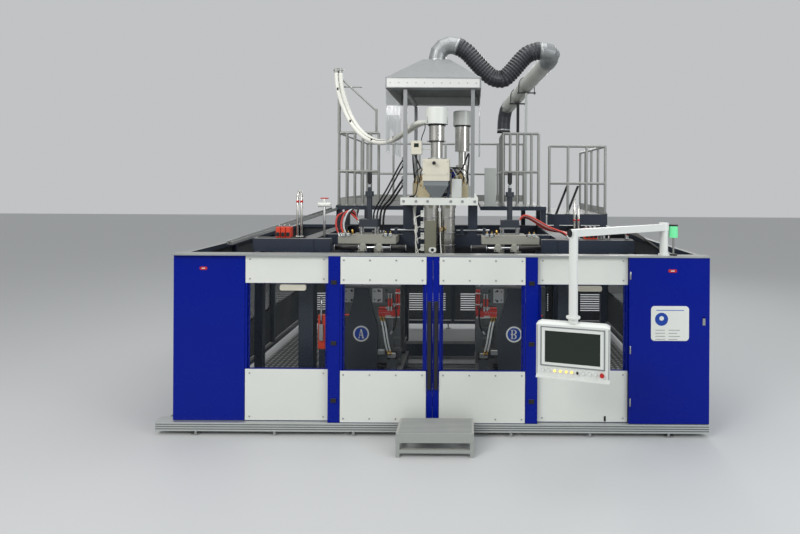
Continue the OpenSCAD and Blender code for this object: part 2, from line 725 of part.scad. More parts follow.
module extruder_drive() {
    top = bed_z + bed_t;
    color(blue) difference() {
        union() {
            block(about(moulding_x, [-230, 230]), [barrel_y1, barrel_y1 + 420], [top, top + 430]);
            block(about(moulding_x, [-270, 270]), [barrel_y1 + 30, barrel_y1 + 390], [top, top + 40]);
        }
        bar_y(moulding_x, [barrel_y1 - 1, barrel_y1 + 70], barrel_z, screw_d + 4);
    }
    color(dark) difference() {
        bar_y(moulding_x, [barrel_y1 + 420, barrel_y1 + 880], top + 215, 330);
        for (a = [0:15:345]) translate([moulding_x, 0, top + 215]) rotate([0, a, 0])
            block([158, 170], [barrel_y1 + 450, barrel_y1 + 850], [-9, 9]);
    }
    color(dark) block(about(moulding_x, [-130, 130]), [barrel_y1 + 480, barrel_y1 + 800], [top, top + 60]);
}

// Places of the feed hopper
hopper_x = -20;
hopper_y = mould_y - 40;
box_z0 = 2925;
box_z1 = 3205;
throat_w = 117;

// Feed hopper: square box, flanged taper down to the bed and a lid plate
module hopper() {
    top = bed_z + bed_t;
    translate([hopper_x, hopper_y, 0]) {
        color(cream) difference() {
            block([-hopper_w / 2, hopper_w / 2], [-hopper_w / 2, hopper_w / 2], [box_z0, box_z1]);
            block([10 - hopper_w / 2, hopper_w / 2 - 10], [10 - hopper_w / 2, hopper_w / 2 - 10],
                [box_z0 - 1, box_z1 - 10]);
            bar_z(0, 0, [box_z1 - 20, box_z1 + 1], 130);
        }
        color(dark) difference() {
            hull() {
                block([-hopper_w / 2 + 12, hopper_w / 2 - 12], [-hopper_w / 2 + 12, hopper_w / 2 - 12],
                    [box_z0 - 60, box_z0]);
                block([-throat_w / 2, throat_w / 2], [-throat_w / 2, throat_w / 2], [top, top + 30]);
            }
            hull() {
                block([-hopper_w / 2 + 18, hopper_w / 2 - 18], [-hopper_w / 2 + 18, hopper_w / 2 - 18],
                    [box_z0 - 60, box_z0 + 1]);
                block([-throat_w / 2 + 8, throat_w / 2 - 8], [-throat_w / 2 + 8, throat_w / 2 - 8],
                    [top + 12, top + 30]);
            }
        }
        color("black") bar_y(-20, [-hopper_w / 2 - 30, -hopper_w / 2], 3150, 34);
    }
}

// Front vacuum loader over the hopper, and the rear loader with its cone and chute
module loaders() {
    translate([hopper_x, hopper_y, 0]) {
        color(steel) {
            bar_z(0, 0, [box_z1, 3222], 190);
            bar_z(0, 0, [3222, 3430], 156);
            bar_z(0, 0, [3446, 3640], loader_d);
        }
        color("black") {
            bar_z(0, 0, [3430, 3446], 216);
            bar_z(0, 0, [3640, 3662], 228);
        }
        color("white") bar_z(0, 0, [3662, 3860], 293);
        color(zinc) block([-330, -190], [-60, 40], [3265, 3445]);
        color(zinc) block([-190, -70], [-30, 10], [3330, 3350]);
        color("white") rotate([0, 0, hose_turn]) for (y = [-45, 45]) bar_x([120, 214.7], y, 3700, hose_d);
    }
    translate([300, mould_y + 900, 0]) {
        color(steel) {
            bar_z(0, 0, [3360, 3720], 215);
            bar_z(0, 0, [3160, 3360], 110);
            bar_z(0, 0, [2961, 3160], 190);
        }
        color("black") bar_z(0, 0, [3720, 3742], 240);
        color("white") bar_z(0, 0, [3742, 3935], 270);
        color(steel) block([-165, 100], [-60, 60], [2800, 2961]);
    }
}

// Middle of the hood, and the line of its duct
hood_x = -68;
hood_y0 = mould_y - 65;
hood_mid_y = hood_y0 + hood_depth / 2;
hood_top = hood_z + hood_rim_h + hood_rise;
hood_wall = 3;

module hood_shape(c) hull() {
    translate([0, 0, hood_z + hood_rim_h]) linear_extrude(0.1)
        square([hood_w - 2 * c, hood_depth - 2 * c], center = true);
    translate([0, 0, hood_top - c]) linear_extrude(0.1) square([380 - 2 * c, 380 - 2 * c], center = true);
}

module hood() color(zinc) translate([hood_x, hood_mid_y, 0]) difference() {
    union() {
        hood_shape(0);
        block([-hood_w / 2, hood_w / 2], [-hood_depth / 2, hood_depth / 2], [hood_z, hood_z + hood_rim_h]);
    }
    hood_shape(hood_wall);
    block([hood_wall - hood_w / 2, hood_w / 2 - hood_wall], [hood_wall - hood_depth / 2,
        hood_depth / 2 - hood_wall], [hood_z - 1, hood_z + hood_rim_h + 0.1]);
    bar_z(0, 0, [hood_top - 20, hood_top + 20], duct_d - 2 * duct_wall);
}

// Four square legs from the bed to the hood's rim, with their tie bars under the rim
module hood_legs() color(zinc) {
    xs = [moulding_x - 480, moulding_x + 405];
    ys = [hood_y0 + 40, hood_y0 + 1500];
    for (x = xs) for (y = ys) block([x, x + leg_w], [y, y + leg_w], [bed_z + bed_t, hood_z]);
    for (x = xs) block([x, x + leg_w], [ys[0] + leg_w, ys[1]], [hood_z - leg_w, hood_z]);
    for (y = ys) block([hood_x - hood_w / 2, hood_x + hood_w / 2], [y, y + leg_w], [hood_z - 6, hood_z]);
}

// Clear curtains hung on the hood's sides, the left one cut out where the suction hoses pass
module curtain() color("white", 0.4) {
    y0 = hood_y0 + 30;
    y1 = hood_y0 + hood_depth - 30;
    left = [hood_x - hood_w / 2 - curtain_t, hood_x - hood_w / 2];
    block(left, [y0, y0 + 380], [curtain_z, hood_z + 60]);
    block(left, [y0 + 380, y0 + 730], [curtain_z + 340, hood_z + 60]);
    block(left, [y0 + 730, y1], [curtain_z, hood_z + 60]);
    block([hood_x + hood_w / 2, hood_x + hood_w / 2 + curtain_t], [y0 + 700, y1], [curtain_z, hood_z + 60]);
}
curtain_t = 5;
curtain_z = 3300;

function unit(v) = v / norm(v);
function heading(p, k) = unit(p[min(k + 1, len(p) - 1)] - p[max(k - 1, 0)]);
function ring(p, k, r, n, ref) = let (t = heading(p, k), a = unit(cross(t, ref)), b = cross(a, t))
    [for (i = [0:n - 1]) p[k] + r * (cos(360 * i / n) * a + sin(360 * i / n) * b)];
// Point at u between p[k] and p[k + 1] on a smooth line through all the points
function smooth_at(p, k, u) = let (a = p[max(k - 1, 0)], b = p[k], c = p[k + 1],
    d = p[min(k + 2, len(p) - 1)]) 0.5 * (2 * b + (c - a) * u + (2 * a - 5 * b + 4 * c - d) * u * u
    + (3 * b - a - 3 * c + d) * u * u * u);
function smooth(p, m) = [for (k = [0:len(p) - 2]) for (j = [0:m - 1]) smooth_at(p, k, j / m), p[len(p) - 1]];

// Skin through a closed loop of rings, each of n points
module ring_skin(rings, n) polyhedron(points = [for (r = rings) each r], faces = [for (k = [0:len(rings) - 1])
    let (m = (k + 1) % len(rings)) for (i = [0:n - 1]) let (j = (i + 1) % n) each
    [[k * n + i, m * n + j, m * n + i], [k * n + i, k * n + j, m * n + j]]], convexity = 8);

// Pipe along the points p, whose outer radius at ring k is r0, plus the fold on every second ring
module pipe(p, d, wall, n, ref, fold = 0) ring_skin(concat(
    [for (k = [0:len(p) - 1]) ring(p, k, d / 2 - (k > 1 && k < len(p) - 2 ? fold * (k % 2) : 0), n, ref)],
    [for (k = [len(p) - 1:-1:0]) ring(p, k, d / 2 - wall - fold, n, ref)]), n);

// Solid cord along the points p
module cord_tube(p, d, n) {
    m = len(p);
    polyhedron(points = [for (k = [0:m - 1]) each ring(p, k, d / 2, n, [0, 1, 0])], faces = concat(
        [[for (i = [n - 1:-1:0]) i]], [[for (i = [0:n - 1]) (m - 1) * n + i]],
        [for (k = [0:m - 2]) for (i = [0:n - 1]) let (j = (i + 1) % n) each
            [[k * n + i, (k + 1) * n + j, (k + 1) * n + i], [k * n + i, k * n + j, (k + 1) * n + j]]]),
        convexity = 8);
}

bend_r = 200;
bend_turn = 110;
elbow_tip = [hood_x + bend_r * (1 - cos(bend_turn)), hood_mid_y, hood_top + 50 + bend_r * sin(bend_turn)];
elbow_way = [sin(bend_turn), 0, cos(bend_turn)];
elbow_end = elbow_tip + 40 * elbow_way;
elbow_line = [[hood_x, hood_mid_y, hood_top + 0.4], for (a = [0:bend_turn / 4:bend_turn - 1])
    [hood_x + bend_r * (1 - cos(a)), hood_mid_y, hood_top + 50 + bend_r * sin(a)], elbow_tip, elbow_end];
flexible_line = [[372, 4790], [462, 4693], [553, 4595], [648, 4500], [755, 4425], [885, 4412],
    [985, 4490], [1073, 4590], [1160, 4692], [1258, 4778], [1390, 4820]];
flexible_path = concat([elbow_end + 0.3 * elbow_way], smooth(concat([elbow_end + 25 * elbow_way],
    [for (q = flexible_line) [q[0], hood_mid_y, q[1]]]), 6), [[1419.7, hood_mid_y, 4820]]);
// Where the rear elbow meets the return duct, and where that meets the drop piece, with their directions
return_start = [1588, hood_mid_y + 350, 4740];
return_end = [1152, 2430, 4380];
way_in = unit([1510, 635, 4690] - return_start);
way_out = unit(return_end - [1290, 1935, 4500]);
rear_elbow_line = [[1420, hood_mid_y, 4820], [1480, hood_mid_y, 4820], [1560, hood_mid_y + 40, 4812],
    [1608, hood_mid_y + 125, 4790], [1610, hood_mid_y + 230, 4763], return_start - 40 * way_in,
    return_start - 0.2 * way_in];
return_line = [return_start + 0.2 * way_in, return_start + 40 * way_in, [1510, 635, 4690], [1387, 1335, 4600],
    [1290, 1935, 4500], return_end - 40 * way_out, return_end - 0.2 * way_out];
drop_line = [return_end + 0.2 * way_out, return_end + 40 * way_out, [1108, 2550, 4310], [1086, 2585, 4200],
    [1074, 2598, 4080], [1070, 2600, 3950], [1070, 2600, 3900]];

module flexible_duct() color(dark)
    pipe(flexible_path, duct_d + 12, duct_wall, 18, [0, 1, 0], 12);

// Rigid elbows, the pale return duct to the rear and its dark drop piece, end to end
module fume_ducts() {
    color(zinc) {
        pipe(elbow_line, duct_d, duct_wall, 32, [0, 1, 0]);
        pipe(rear_elbow_line, duct_d, duct_wall, 32, [0, 0, 1]);
    }
    color("whitesmoke") pipe(return_line, duct_d, duct_wall, 32, [0, 0, 1]);
    color(dark) pipe(drop_line, duct_d, duct_wall, 32, [1, 0, 0]);
}

// Decks, their supports, the junction cabinet and the stands of the return duct
module platform() {
    left = -1640;
    right = column_x - 10;
    rear = rear_y - 140;
    inner = [moulding_x - 560, moulding_x + 560];
    side_z = 2410;
    color(dark) {
        for (x = [[left, inner[0]], [inner[1], right]])
            block(x, [deck_y, rear], [deck_z - 60, deck_z]);
        block([left, right], [2350, rear], [deck_z - 60, deck_z]);
        block([1657, 2600], [540, rear - 60], [side_z - 25, side_z]);
        block([right, 1657], [frame_rear_y - 60, frame_rear_y + 20], [side_z - 25, side_z]);
    }
    color(slate) {
        for (x = [-column_x, column_x - 50]) for (y = [deck_y + 40, frame_rear_y - 60])
            block([x - 40, x + 40], [y, y + 80], [beam_top, deck_z - 60]);
        for (x = [-column_x, column_x - 140]) block([x - 40, x + 40], [rear - 140, rear - 60],
            [0, deck_z - 60]);
        block([1657, 2600], [540, 620], [2240, side_z - 25]);
        for (x = [1760, 2500]) for (y = [540, rear - 140]) block([x, x + 80], [y, y + 80], [0, side_z - 25]);
    }
    color(zinc) block([642, 820], [300, 420], [deck_z, 3130]);
    color("black") {
        block([1265, 1315], [1910, 1960], [deck_z, 4345]);
        block([1160, 1420], [1900, 1970], [4345, 4362.6]);
        block([1045, 1095], [2575, 2625], [deck_z, 3899.6]);
        block([940, 1200], [2588, 2612], [3870, 3899.6]);
    }
    color(zinc) block([1360, 1400], [1310, 1350], [deck_z, 4470.4]);
}
deck_y = mould_y + 1235;

// Straight round tube between two points
module strut(a, b, d) translate(a) rotate([0, acos((b - a)[2] / norm(b - a)), atan2((b - a)[1], (b - a)[0])])
    cylinder(d = d, h = norm(b - a));

// Rail with its posts between two points on a deck
module guard_rail(a, b, z0, top, mid, n) {
    for (z = [top, mid]) strut([a[0], a[1], z], [b[0], b[1], z], rail_d);
    for (k = [0:n]) let (p = a + (b - a) * k / n) strut([p[0], p[1], z0], [p[0], p[1], top], rail_d);
}

module handrails() color(zinc) {
    y0 = deck_y + 40;
    y1 = rear_y - 190;
    side_top = rail_z - 170;
    guard_rail([-1600, y0], [-990, y0], deck_z, rail_z, mid_rail_z, 5);
    guard_rail([-1600, y0], [-1600, y1], deck_z, rail_z, mid_rail_z, 4);
    guard_rail([-1600, y1], [1470, y1], deck_z, rail_z, mid_rail_z, 6);
    guard_rail([924, y0], [1470, y0], deck_z, rail_z, mid_rail_z, 5);
    guard_rail([924, y0], [924, 1100], deck_z, rail_z, mid_rail_z, 2);
    guard_rail([1680, 575], [2570, 575], 2410, side_top, mid_rail_z - 170, 3);
    guard_rail([2570, 575], [2570, 2600], 2410, side_top, mid_rail_z - 170, 4);
    for (x = [-1600, 1470]) strut([x, y1, deck_z], [x, y1, rail_z + rail_d / 2 + 3], rail_d + 6);
    strut([-1600, y0, rail_z], [-1600, y0, 4650], 52);
    strut([-1600, y0, 4368], [-1250, y0, 4368], 22);
    strut([-1600, y0, 4520], [-1030, y0, 4000], 30);
    strut([-1030, y0, 4030], [-1030, y0, rail_z], 38);
    for (x = [0, 66]) bar_z(-1633 + x, y0 - 62, [4567, 4640], hose_d);
    bar_x([-1680, -1520], y0 - 62, 4612, 30);
    bar_y(-1600, [y0 - 62, y0], 4612, 24);
    color("black") for (x = [1801, 1975]) translate([x, 630, 2410])
        multmatrix([[1, 0, 0.388, 0], [0, 1, 0, 0], [0, 0, 1, 0], [0, 0, 0, 1]])
            translate([-17, -17, 0]) cube([34, 34, 450]);
}

hose_d = 60;
hose_left = [[-1633, 213, 4555], [-1630, 213, 4460], [-1606, 206, 4300], [-1556, 190, 4130],
    [-1483, 155, 3960], [-1390, 100, 3800], [-1275, 22, 3665], [-1150, -72, 3565], [-1020, -180, 3500],
    [-890, -300, 3468], [-765, -428, 3467], [-650, -560, 3500], [-548, -672, 3552], [-455, -762, 3610],
    [-372, -830, 3658], [-296, -889, 3690], [-231, -938, 3700]];
hose_right = [[-1567, 213, 4555], [-1564, 214, 4465], [-1540, 211, 4305], [-1490, 200, 4138],
    [-1425, 185, 3968], [-1338, 140, 3812], [-1229, 69, 3680], [-1107, -22, 3583], [-976, -130, 3520],
    [-844, -253, 3490], [-716, -384, 3490], [-601, -516, 3520], [-500, -622, 3566], [-392, -704, 3622],
    [-305, -770, 3668], [-241, -818, 3692], [-177, -866, 3700]];
hose_turn = 143.13;

// A hose's whole line, with a short straight lead at each end
function hose_line(p) = concat([p[0] + [0, 0, 12]], smooth(p, 2), [p[len(p) - 1] + [12, -9, 0]]);
module suction_hose_left() color("whitesmoke") cord_tube(hose_line(hose_left), hose_d, 12);
module suction_hose_right() color("whitesmoke") cord_tube(hose_line(hose_right), hose_d, 12);

// The arm's post stands on the top rail
post_y = front_y + 85;
pin_top = arm_z + 20;
module hmi_post() color(pale) translate([arm_post_x, post_y, 0]) {
    cylinder_z0 = cap_top;
    bar_z(0, 0, [cylinder_z0, cylinder_z0 + 18], 125);
    bar_z(0, 0, [cylinder_z0 + 18, arm_z - arm_w / 2 - gap], 92);
    bar_z(0, 0, [arm_z - arm_w / 2 - gap, pin_top], 40);
}

arm_dx = arm_elbow_x - arm_post_x;
arm_dy = front_y - arm_reach - post_y;
arm_len = norm([arm_dx, arm_dy]);
hmi_top = hmi_z + hmi_h;
module hmi_arm() translate([arm_post_x, post_y, 0]) rotate([0, 0, atan2(arm_dy, arm_dx)]) {
    color(pale) difference() {
        union() {
            block([0, arm_len], [-arm_w / 2, arm_w / 2], [arm_z - arm_w / 2, arm_z + arm_w / 2]);
            bar_z(0, 0, [arm_z - arm_w / 2, arm_z + arm_w / 2 + 16], 110);
            bar_z(arm_len, 0, [hmi_top + 60, arm_z + arm_w / 2 - 2], 91);
            bar_z(arm_len, 0, [hmi_top + 42, hmi_top + 60], 142);
        }
        bar_z(0, 0, [arm_z - arm_w / 2 - 1, pin_top + gap], 40 + 2 * gap);
        bar_z(arm_len, 0, [hmi_top + 41, hmi_top + 120], 50 + 2 * gap);
    }
    color("black") bar_x([arm_len + 45, arm_len + 54], 0, arm_z, 80);
}

// Buttons along the operator panel, measured from its middle
button_z = hmi_z + 72;
lit_x = [-176, -119, -60, -5];
selector_x = 50;
stop_x = 291;
fixed_x_list = [-295, -237, 109, 171, 228];
button_d = 24;
hmi_face = -hmi_d / 2;
module at_panel() translate([arm_elbow_x, front_y - arm_reach, 0]) rotate([0, 0, -hmi_yaw]) children();

module hmi_panel() at_panel() {
    screen = [[-279, 274], [hmi_z + 150, hmi_z + 473]];
    color(pale) difference() {
        union() {
            block([-hmi_w / 2, hmi_w / 2], [hmi_face, -hmi_face], [hmi_z, hmi_top - 24]);
            hull() {
                block([-hmi_w / 2, hmi_w / 2], [hmi_face, -hmi_face], [hmi_top - 25, hmi_top - 24]);
                block([-hmi_w / 2 + 40, hmi_w / 2 - 40], [hmi_face + 30, -hmi_face - 20],
                    [hmi_top - 1, hmi_top]);
            }
            block([-hmi_w / 2, hmi_w / 2], [hmi_face - ledge_d, hmi_face], [hmi_z - 6, hmi_z + 8]);
            bar_z(0, 0, [hmi_top - 5, hmi_top + 41.5], 100);
            bar_z(0, 0, [hmi_top + 41, hmi_top + 118], 50);
        }
        for (x = concat(lit_x, [selector_x, stop_x]))
            bar_y(x, [hmi_face - 1, hmi_face + 20], button_z, button_d + 2 * gap);
        block(screen[0], [hmi_face - 1, hmi_face + 8], screen[1]);
    }
    color("lightslategray") difference() {
        block([-320, 317], [hmi_face - 5, hmi_face], [hmi_z + 118, hmi_z + 515]);
        block(screen[0], [hmi_face - 6, hmi_face + 1], screen[1]);
    }
    color("black") {
        block(screen[0], [hmi_face + 4, hmi_face + 8], screen[1]);
        for (x = fixed_x_list) bar_y(x, [hmi_face - 14, hmi_face], button_z, 30);
    }
    color(steel) for (x = concat(lit_x, [selector_x])) difference() {
        bar_y(x, [hmi_face - 6, hmi_face], button_z, 36);
        bar_y(x, [hmi_face - 7, hmi_face + 1], button_z, button_d + 2 * gap);
    }
}

module push_button(n) at_panel() color("gold")
    bar_y(lit_x[n], [hmi_face - 14, hmi_face + 14], button_z, button_d);
module push_button_1() push_button(0);
module push_button_2() push_button(1);
module push_button_3() push_button(2);
module push_button_4() push_button(3);
module selector_switch() at_panel() color("black") {
    bar_y(selector_x, [hmi_face - 10, hmi_face + 19.5], button_z, button_d);
    block([selector_x - 5, selector_x + 5], [hmi_face - 26, hmi_face - 9], [button_z - 13, button_z + 13]);
}
module emergency_stop() at_panel() color("red") {
    bar_y(stop_x, [hmi_face - 12, hmi_face + 14], button_z, button_d);
    bar_y(stop_x, [hmi_face - 30, hmi_face - 12], button_z, 44);
}

module signal_lamp() translate([arm_post_x + 111, post_y, 0]) {
    color("black") bar_z(0, 0, [cap_top, cap_top + 16], 84);
    color(steel) bar_z(0, 0, [cap_top + 16, 2283], 22);
    color("limegreen") bar_z(0, 0, [2283, 2415], 96);
    color("black") bar_z(0, 0, [2415, 2433], 98);
}

module front_step() color("white") {
    x0 = -step_w / 2 + 60;
    x1 = step_w / 2 + 60;
    y0 = front_y - 496;
    y1 = y0 + 390;
    foot_w = 40;
    block([x0, x1], [y0, y1], [step_h - 4, step_h]);
    for (y = [y0, y1 - 4]) block([x0, x1], [y, y + 4], [step_h - 99, step_h - 4]);
    for (x = [x0, x1 - foot_w]) for (y = [y0 + 4, y1 - foot_w - 4])
        block([x, x + foot_w], [y, y + foot_w], [0, step_h - 4]);
    for (x = [x0, x1 - foot_w]) block([x, x + foot_w], [y0 + 4, y1 - 4], [45, 80]);
    for (y = [y0 + 4, y1 - foot_w - 4]) block([x0, x1], [y, y + foot_w], [45, 80]);
}

// Closed belt round its two rollers, with the tail roller
module flash_belt() {
    belt_t = 4;
    module loop(d) hull() for (x = [-roller_x, roller_x]) translate([x, roller_z]) circle(d = d);
    color("darkgreen") translate([0, belt_y1, 0]) rotate([90, 0, 0]) linear_extrude(belt_y1 - belt_y0)
        difference() {
            loop(roller_d + 2 * gap + 2 * belt_t);
            loop(roller_d + 2 * gap);
        }
    color(steel) {
        bar_y(-roller_x, [belt_y0 + 2, belt_y1 - 2], roller_z, roller_d);
        bar_y(-roller_x, [front_y + sill_d, belt_y1 + 8], roller_z, 24);
    }
}

module belt_roller() color(steel) {
    bar_y(roller_x, [belt_y0 + 2, belt_y1 - 2], roller_z, roller_d);
    bar_y(roller_x, [front_y + sill_d + gap, belt_y1 + 8 - gap], roller_z, 24);
}

front_sill();
levelling_feet();
guard_frame();
fixed_panels();
fixed_windows();
enclosure_panels();
cabinet_door();
cabinet_latch();
door_a();
door_a_window();
door_a_handle();
door_b();
door_b_window();
door_b_handle();
machine_frame();
carriage_a();
front_platen_a();
rear_platen_a();
clamp_yoke_a();
mould_front_a();
mould_rear_a();
carriage_b();
front_platen_b();
rear_platen_b();
clamp_yoke_b();
mould_front_b();
mould_rear_b();
blow_units();
blow_pins_a();
blow_pins_b();
die_head();
die_mandrels();
extruder_bed();
extruder_barrel();
extruder_screw();
extruder_drive();
hopper();
loaders();
hood();
hood_legs();
fume_ducts();
flexible_duct();
curtain();
platform();
handrails();
suction_hose_left();
suction_hose_right();
hmi_post();
hmi_arm();
hmi_panel();
emergency_stop();
selector_switch();
push_button_1();
push_button_2();
push_button_3();
push_button_4();
signal_lamp();
front_step();
flash_belt();
belt_roller();
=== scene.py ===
import math
import random

import bmesh
import bpy
from mathutils import Matrix, Vector


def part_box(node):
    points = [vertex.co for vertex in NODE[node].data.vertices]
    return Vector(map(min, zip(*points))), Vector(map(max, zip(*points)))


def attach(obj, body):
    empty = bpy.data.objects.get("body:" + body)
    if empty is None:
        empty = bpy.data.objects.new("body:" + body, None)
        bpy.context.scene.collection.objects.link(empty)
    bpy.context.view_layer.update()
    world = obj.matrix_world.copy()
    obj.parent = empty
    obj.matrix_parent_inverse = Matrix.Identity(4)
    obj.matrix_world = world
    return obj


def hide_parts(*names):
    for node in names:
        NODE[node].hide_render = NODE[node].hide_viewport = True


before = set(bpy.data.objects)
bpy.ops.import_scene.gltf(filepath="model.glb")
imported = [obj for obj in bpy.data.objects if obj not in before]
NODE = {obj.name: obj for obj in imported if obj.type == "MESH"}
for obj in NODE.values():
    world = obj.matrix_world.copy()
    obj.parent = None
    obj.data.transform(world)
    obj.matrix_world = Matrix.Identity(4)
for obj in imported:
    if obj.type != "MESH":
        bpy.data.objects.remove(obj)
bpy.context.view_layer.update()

# Places in metres, as part.scad has them
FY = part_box("door_a")[0][1]  # front face of the doors
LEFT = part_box("enclosure_panels")[0][0]
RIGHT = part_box("enclosure_panels")[1][0]
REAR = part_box("enclosure_panels")[1][1]
MY = FY + 0.95  # middle of the die head in depth
HX = 0.02  # middle of the die head and the extruder across
HOOD_X = -0.068  # middle of the hood across
HOOD_Y0 = MY - 0.065  # front edge of the hood
HOOD_MID = HOOD_Y0 + 0.85
SILL, HEAD = 0.75, 1.735  # lower and upper edge of the windows
LOW, TOP = 0.155, 2.054  # lower and upper edge of the guard's sheets
PY = FY + 0.05  # front face of the fixed panels
FRAME_Y = FY + 0.09  # front end of the side walls
BAY = (REAR - FRAME_Y) / 3  # one panel of a side wall
FACE = MY - 0.26  # front face of the front platens
STATIONS = (("a", -0.9, -1), ("b", 0.94, 1))  # letter, middle across, outward side
BEAM_Z = 2.2  # top of the top beams
PORT_Z = BEAM_Z - 0.003  # foot of the hoses that stand on them
DECK_Z, SIDE_DECK_Z = 2.54, 2.41

# Where the photograph shows small parts, in its pixels
CATCHES_PX = (((281, 284), (307, 290)), ((578, 285.5), (602, 291)))
LEFT_PLATE_PX, RIGHT_PLATE_PX = (204, 268), (673.5, 271)
LOCK_PX = (606, 418.5)
BOARD_PX = ((652, 306), (690, 341))

# Camera at the photograph's viewpoint
EYE_X, EYE_BACK, EYE_Z = 0.417, 6.4, 2.91  # metres; EYE_BACK is in front of the doors
AHEAD_X, AHEAD_Y = 470, 182  # pixel straight ahead of the eye
FOCAL = 560  # focal length in pixels
SLOPE, ROLL = 0.0054, 0.31  # sideways tilt, as rise over run and in degrees
cam_data = bpy.data.cameras.new("camera")
cam = bpy.data.objects.new("camera", cam_data)
bpy.context.scene.collection.objects.link(cam)
bpy.context.scene.camera = cam
cam_data.lens = 25.2
cam_data.sensor_width = 36
cam_data.shift_x = -0.0875
cam_data.shift_y = -0.106
level = Matrix.Translation((EYE_X, FY - EYE_BACK, EYE_Z)) @ Matrix.Rotation(math.radians(90), 4, "X")
cam.matrix_world = level @ Matrix.Rotation(math.radians(ROLL), 4, "Z")


def at(px, py, y):
    """Point at depth y that the photograph shows at (px, py)."""
    d = y - FY + EYE_BACK
    across = px - AHEAD_X
    return Vector((EYE_X + across * d / FOCAL, y, EYE_Z - (py - across * SLOPE - AHEAD_Y) * d / FOCAL))


def spline(p, m):
    """Smooth curve through the points p, with m steps between two of them."""
    p = [Vector(q) for q in p]
    out = []
    for k in range(len(p) - 1):
        a, b, c, d = p[max(k - 1, 0)], p[k], p[k + 1], p[min(k + 2, len(p) - 1)]
        for j in range(m):
            u = j / m
            out.append(0.5 * (2 * b + (c - a) * u + (2 * a - 5 * b + 4 * c - d) * u * u
                              + (3 * b - a - 3 * c + d) * u * u * u))
    return out + [p[-1]]


def lin(r, g, b):
    """Linear colour of a screen colour with channels from 0 to 255."""
    return tuple((c / 255 / 12.92 if c <= 10 else ((c / 255 + 0.055) / 1.055) ** 2.4)
                 for c in (r, g, b)) + (1,)


def group(name, ins, outs):
    """Shader node group with these named inputs and outputs."""
    t = bpy.data.node_groups.new(name, "ShaderNodeTree")
    for n, kind, default in ins:
        s = t.interface.new_socket(n, in_out="INPUT", socket_type=kind)
        s.default_value = default
    for n, kind in outs:
        t.interface.new_socket(n, in_out="OUTPUT", socket_type=kind)
    return t, t.nodes.new("NodeGroupInput"), t.nodes.new("NodeGroupOutput")


def noise(t, vec, scale, detail, rough=0.55):
    """Noise from 0 to 1; scale is a value or a socket."""
    n = t.nodes.new("ShaderNodeTexNoise")
    n.inputs["Detail"].default_value = detail
    n.inputs["Roughness"].default_value = rough
    t.links.new(vec, n.inputs["Vector"])
    if isinstance(scale, (int, float)):
        n.inputs["Scale"].default_value = scale
    else:
        t.links.new(scale, n.inputs["Scale"])
    return n.outputs["Fac"]


def ramp(t, value, a, b, lo=0.0, hi=1.0):
    """Value carried from the range a to b onto the range lo to hi."""
    n = t.nodes.new("ShaderNodeMapRange")
    n.inputs["From Min"].default_value = a
    n.inputs["From Max"].default_value = b
    n.inputs["To Min"].default_value = lo
    n.inputs["To Max"].default_value = hi
    t.links.new(value, n.inputs["Value"])
    return n.outputs["Result"]


def maths(t, op, a, b):
    """Math node; a and b are values or sockets."""
    n = t.nodes.new("ShaderNodeMath")
    n.operation = op
    for s, v in zip(n.inputs, (a, b)):
        if isinstance(v, (int, float)):
            s.default_value = v
        else:
            t.links.new(v, s)
    return n.outputs[0]


def mix(t, fac, a, b):
    """Colour between a and b; fac, a and b are values or sockets."""
    n = t.nodes.new("ShaderNodeMix")
    n.data_type = "RGBA"  # its colours A and B are inputs 6 and 7, and the result is output 2
    for s, v in ((n.inputs["Factor"], fac), (n.inputs[6], a), (n.inputs[7], b)):
        if hasattr(v, "is_linked"):
            t.links.new(v, s)
        else:
            s.default_value = v
    return n.outputs[2]


def bump(t, height, normal, strength, distance):
    """Bump from a height, over a normal that is there already."""
    n = t.nodes.new("ShaderNodeBump")
    n.inputs["Strength"].default_value = strength
    n.inputs["Distance"].default_value = distance
    t.links.new(height, n.inputs["Height"])
    t.links.new(normal, n.inputs["Normal"])
    return n.outputs[0]


def stretched(t, vec, scale):
    n = t.nodes.new("ShaderNodeMapping")
    n.inputs["Scale"].default_value = scale
    t.links.new(vec, n.inputs["Vector"])
    return n.outputs["Vector"]


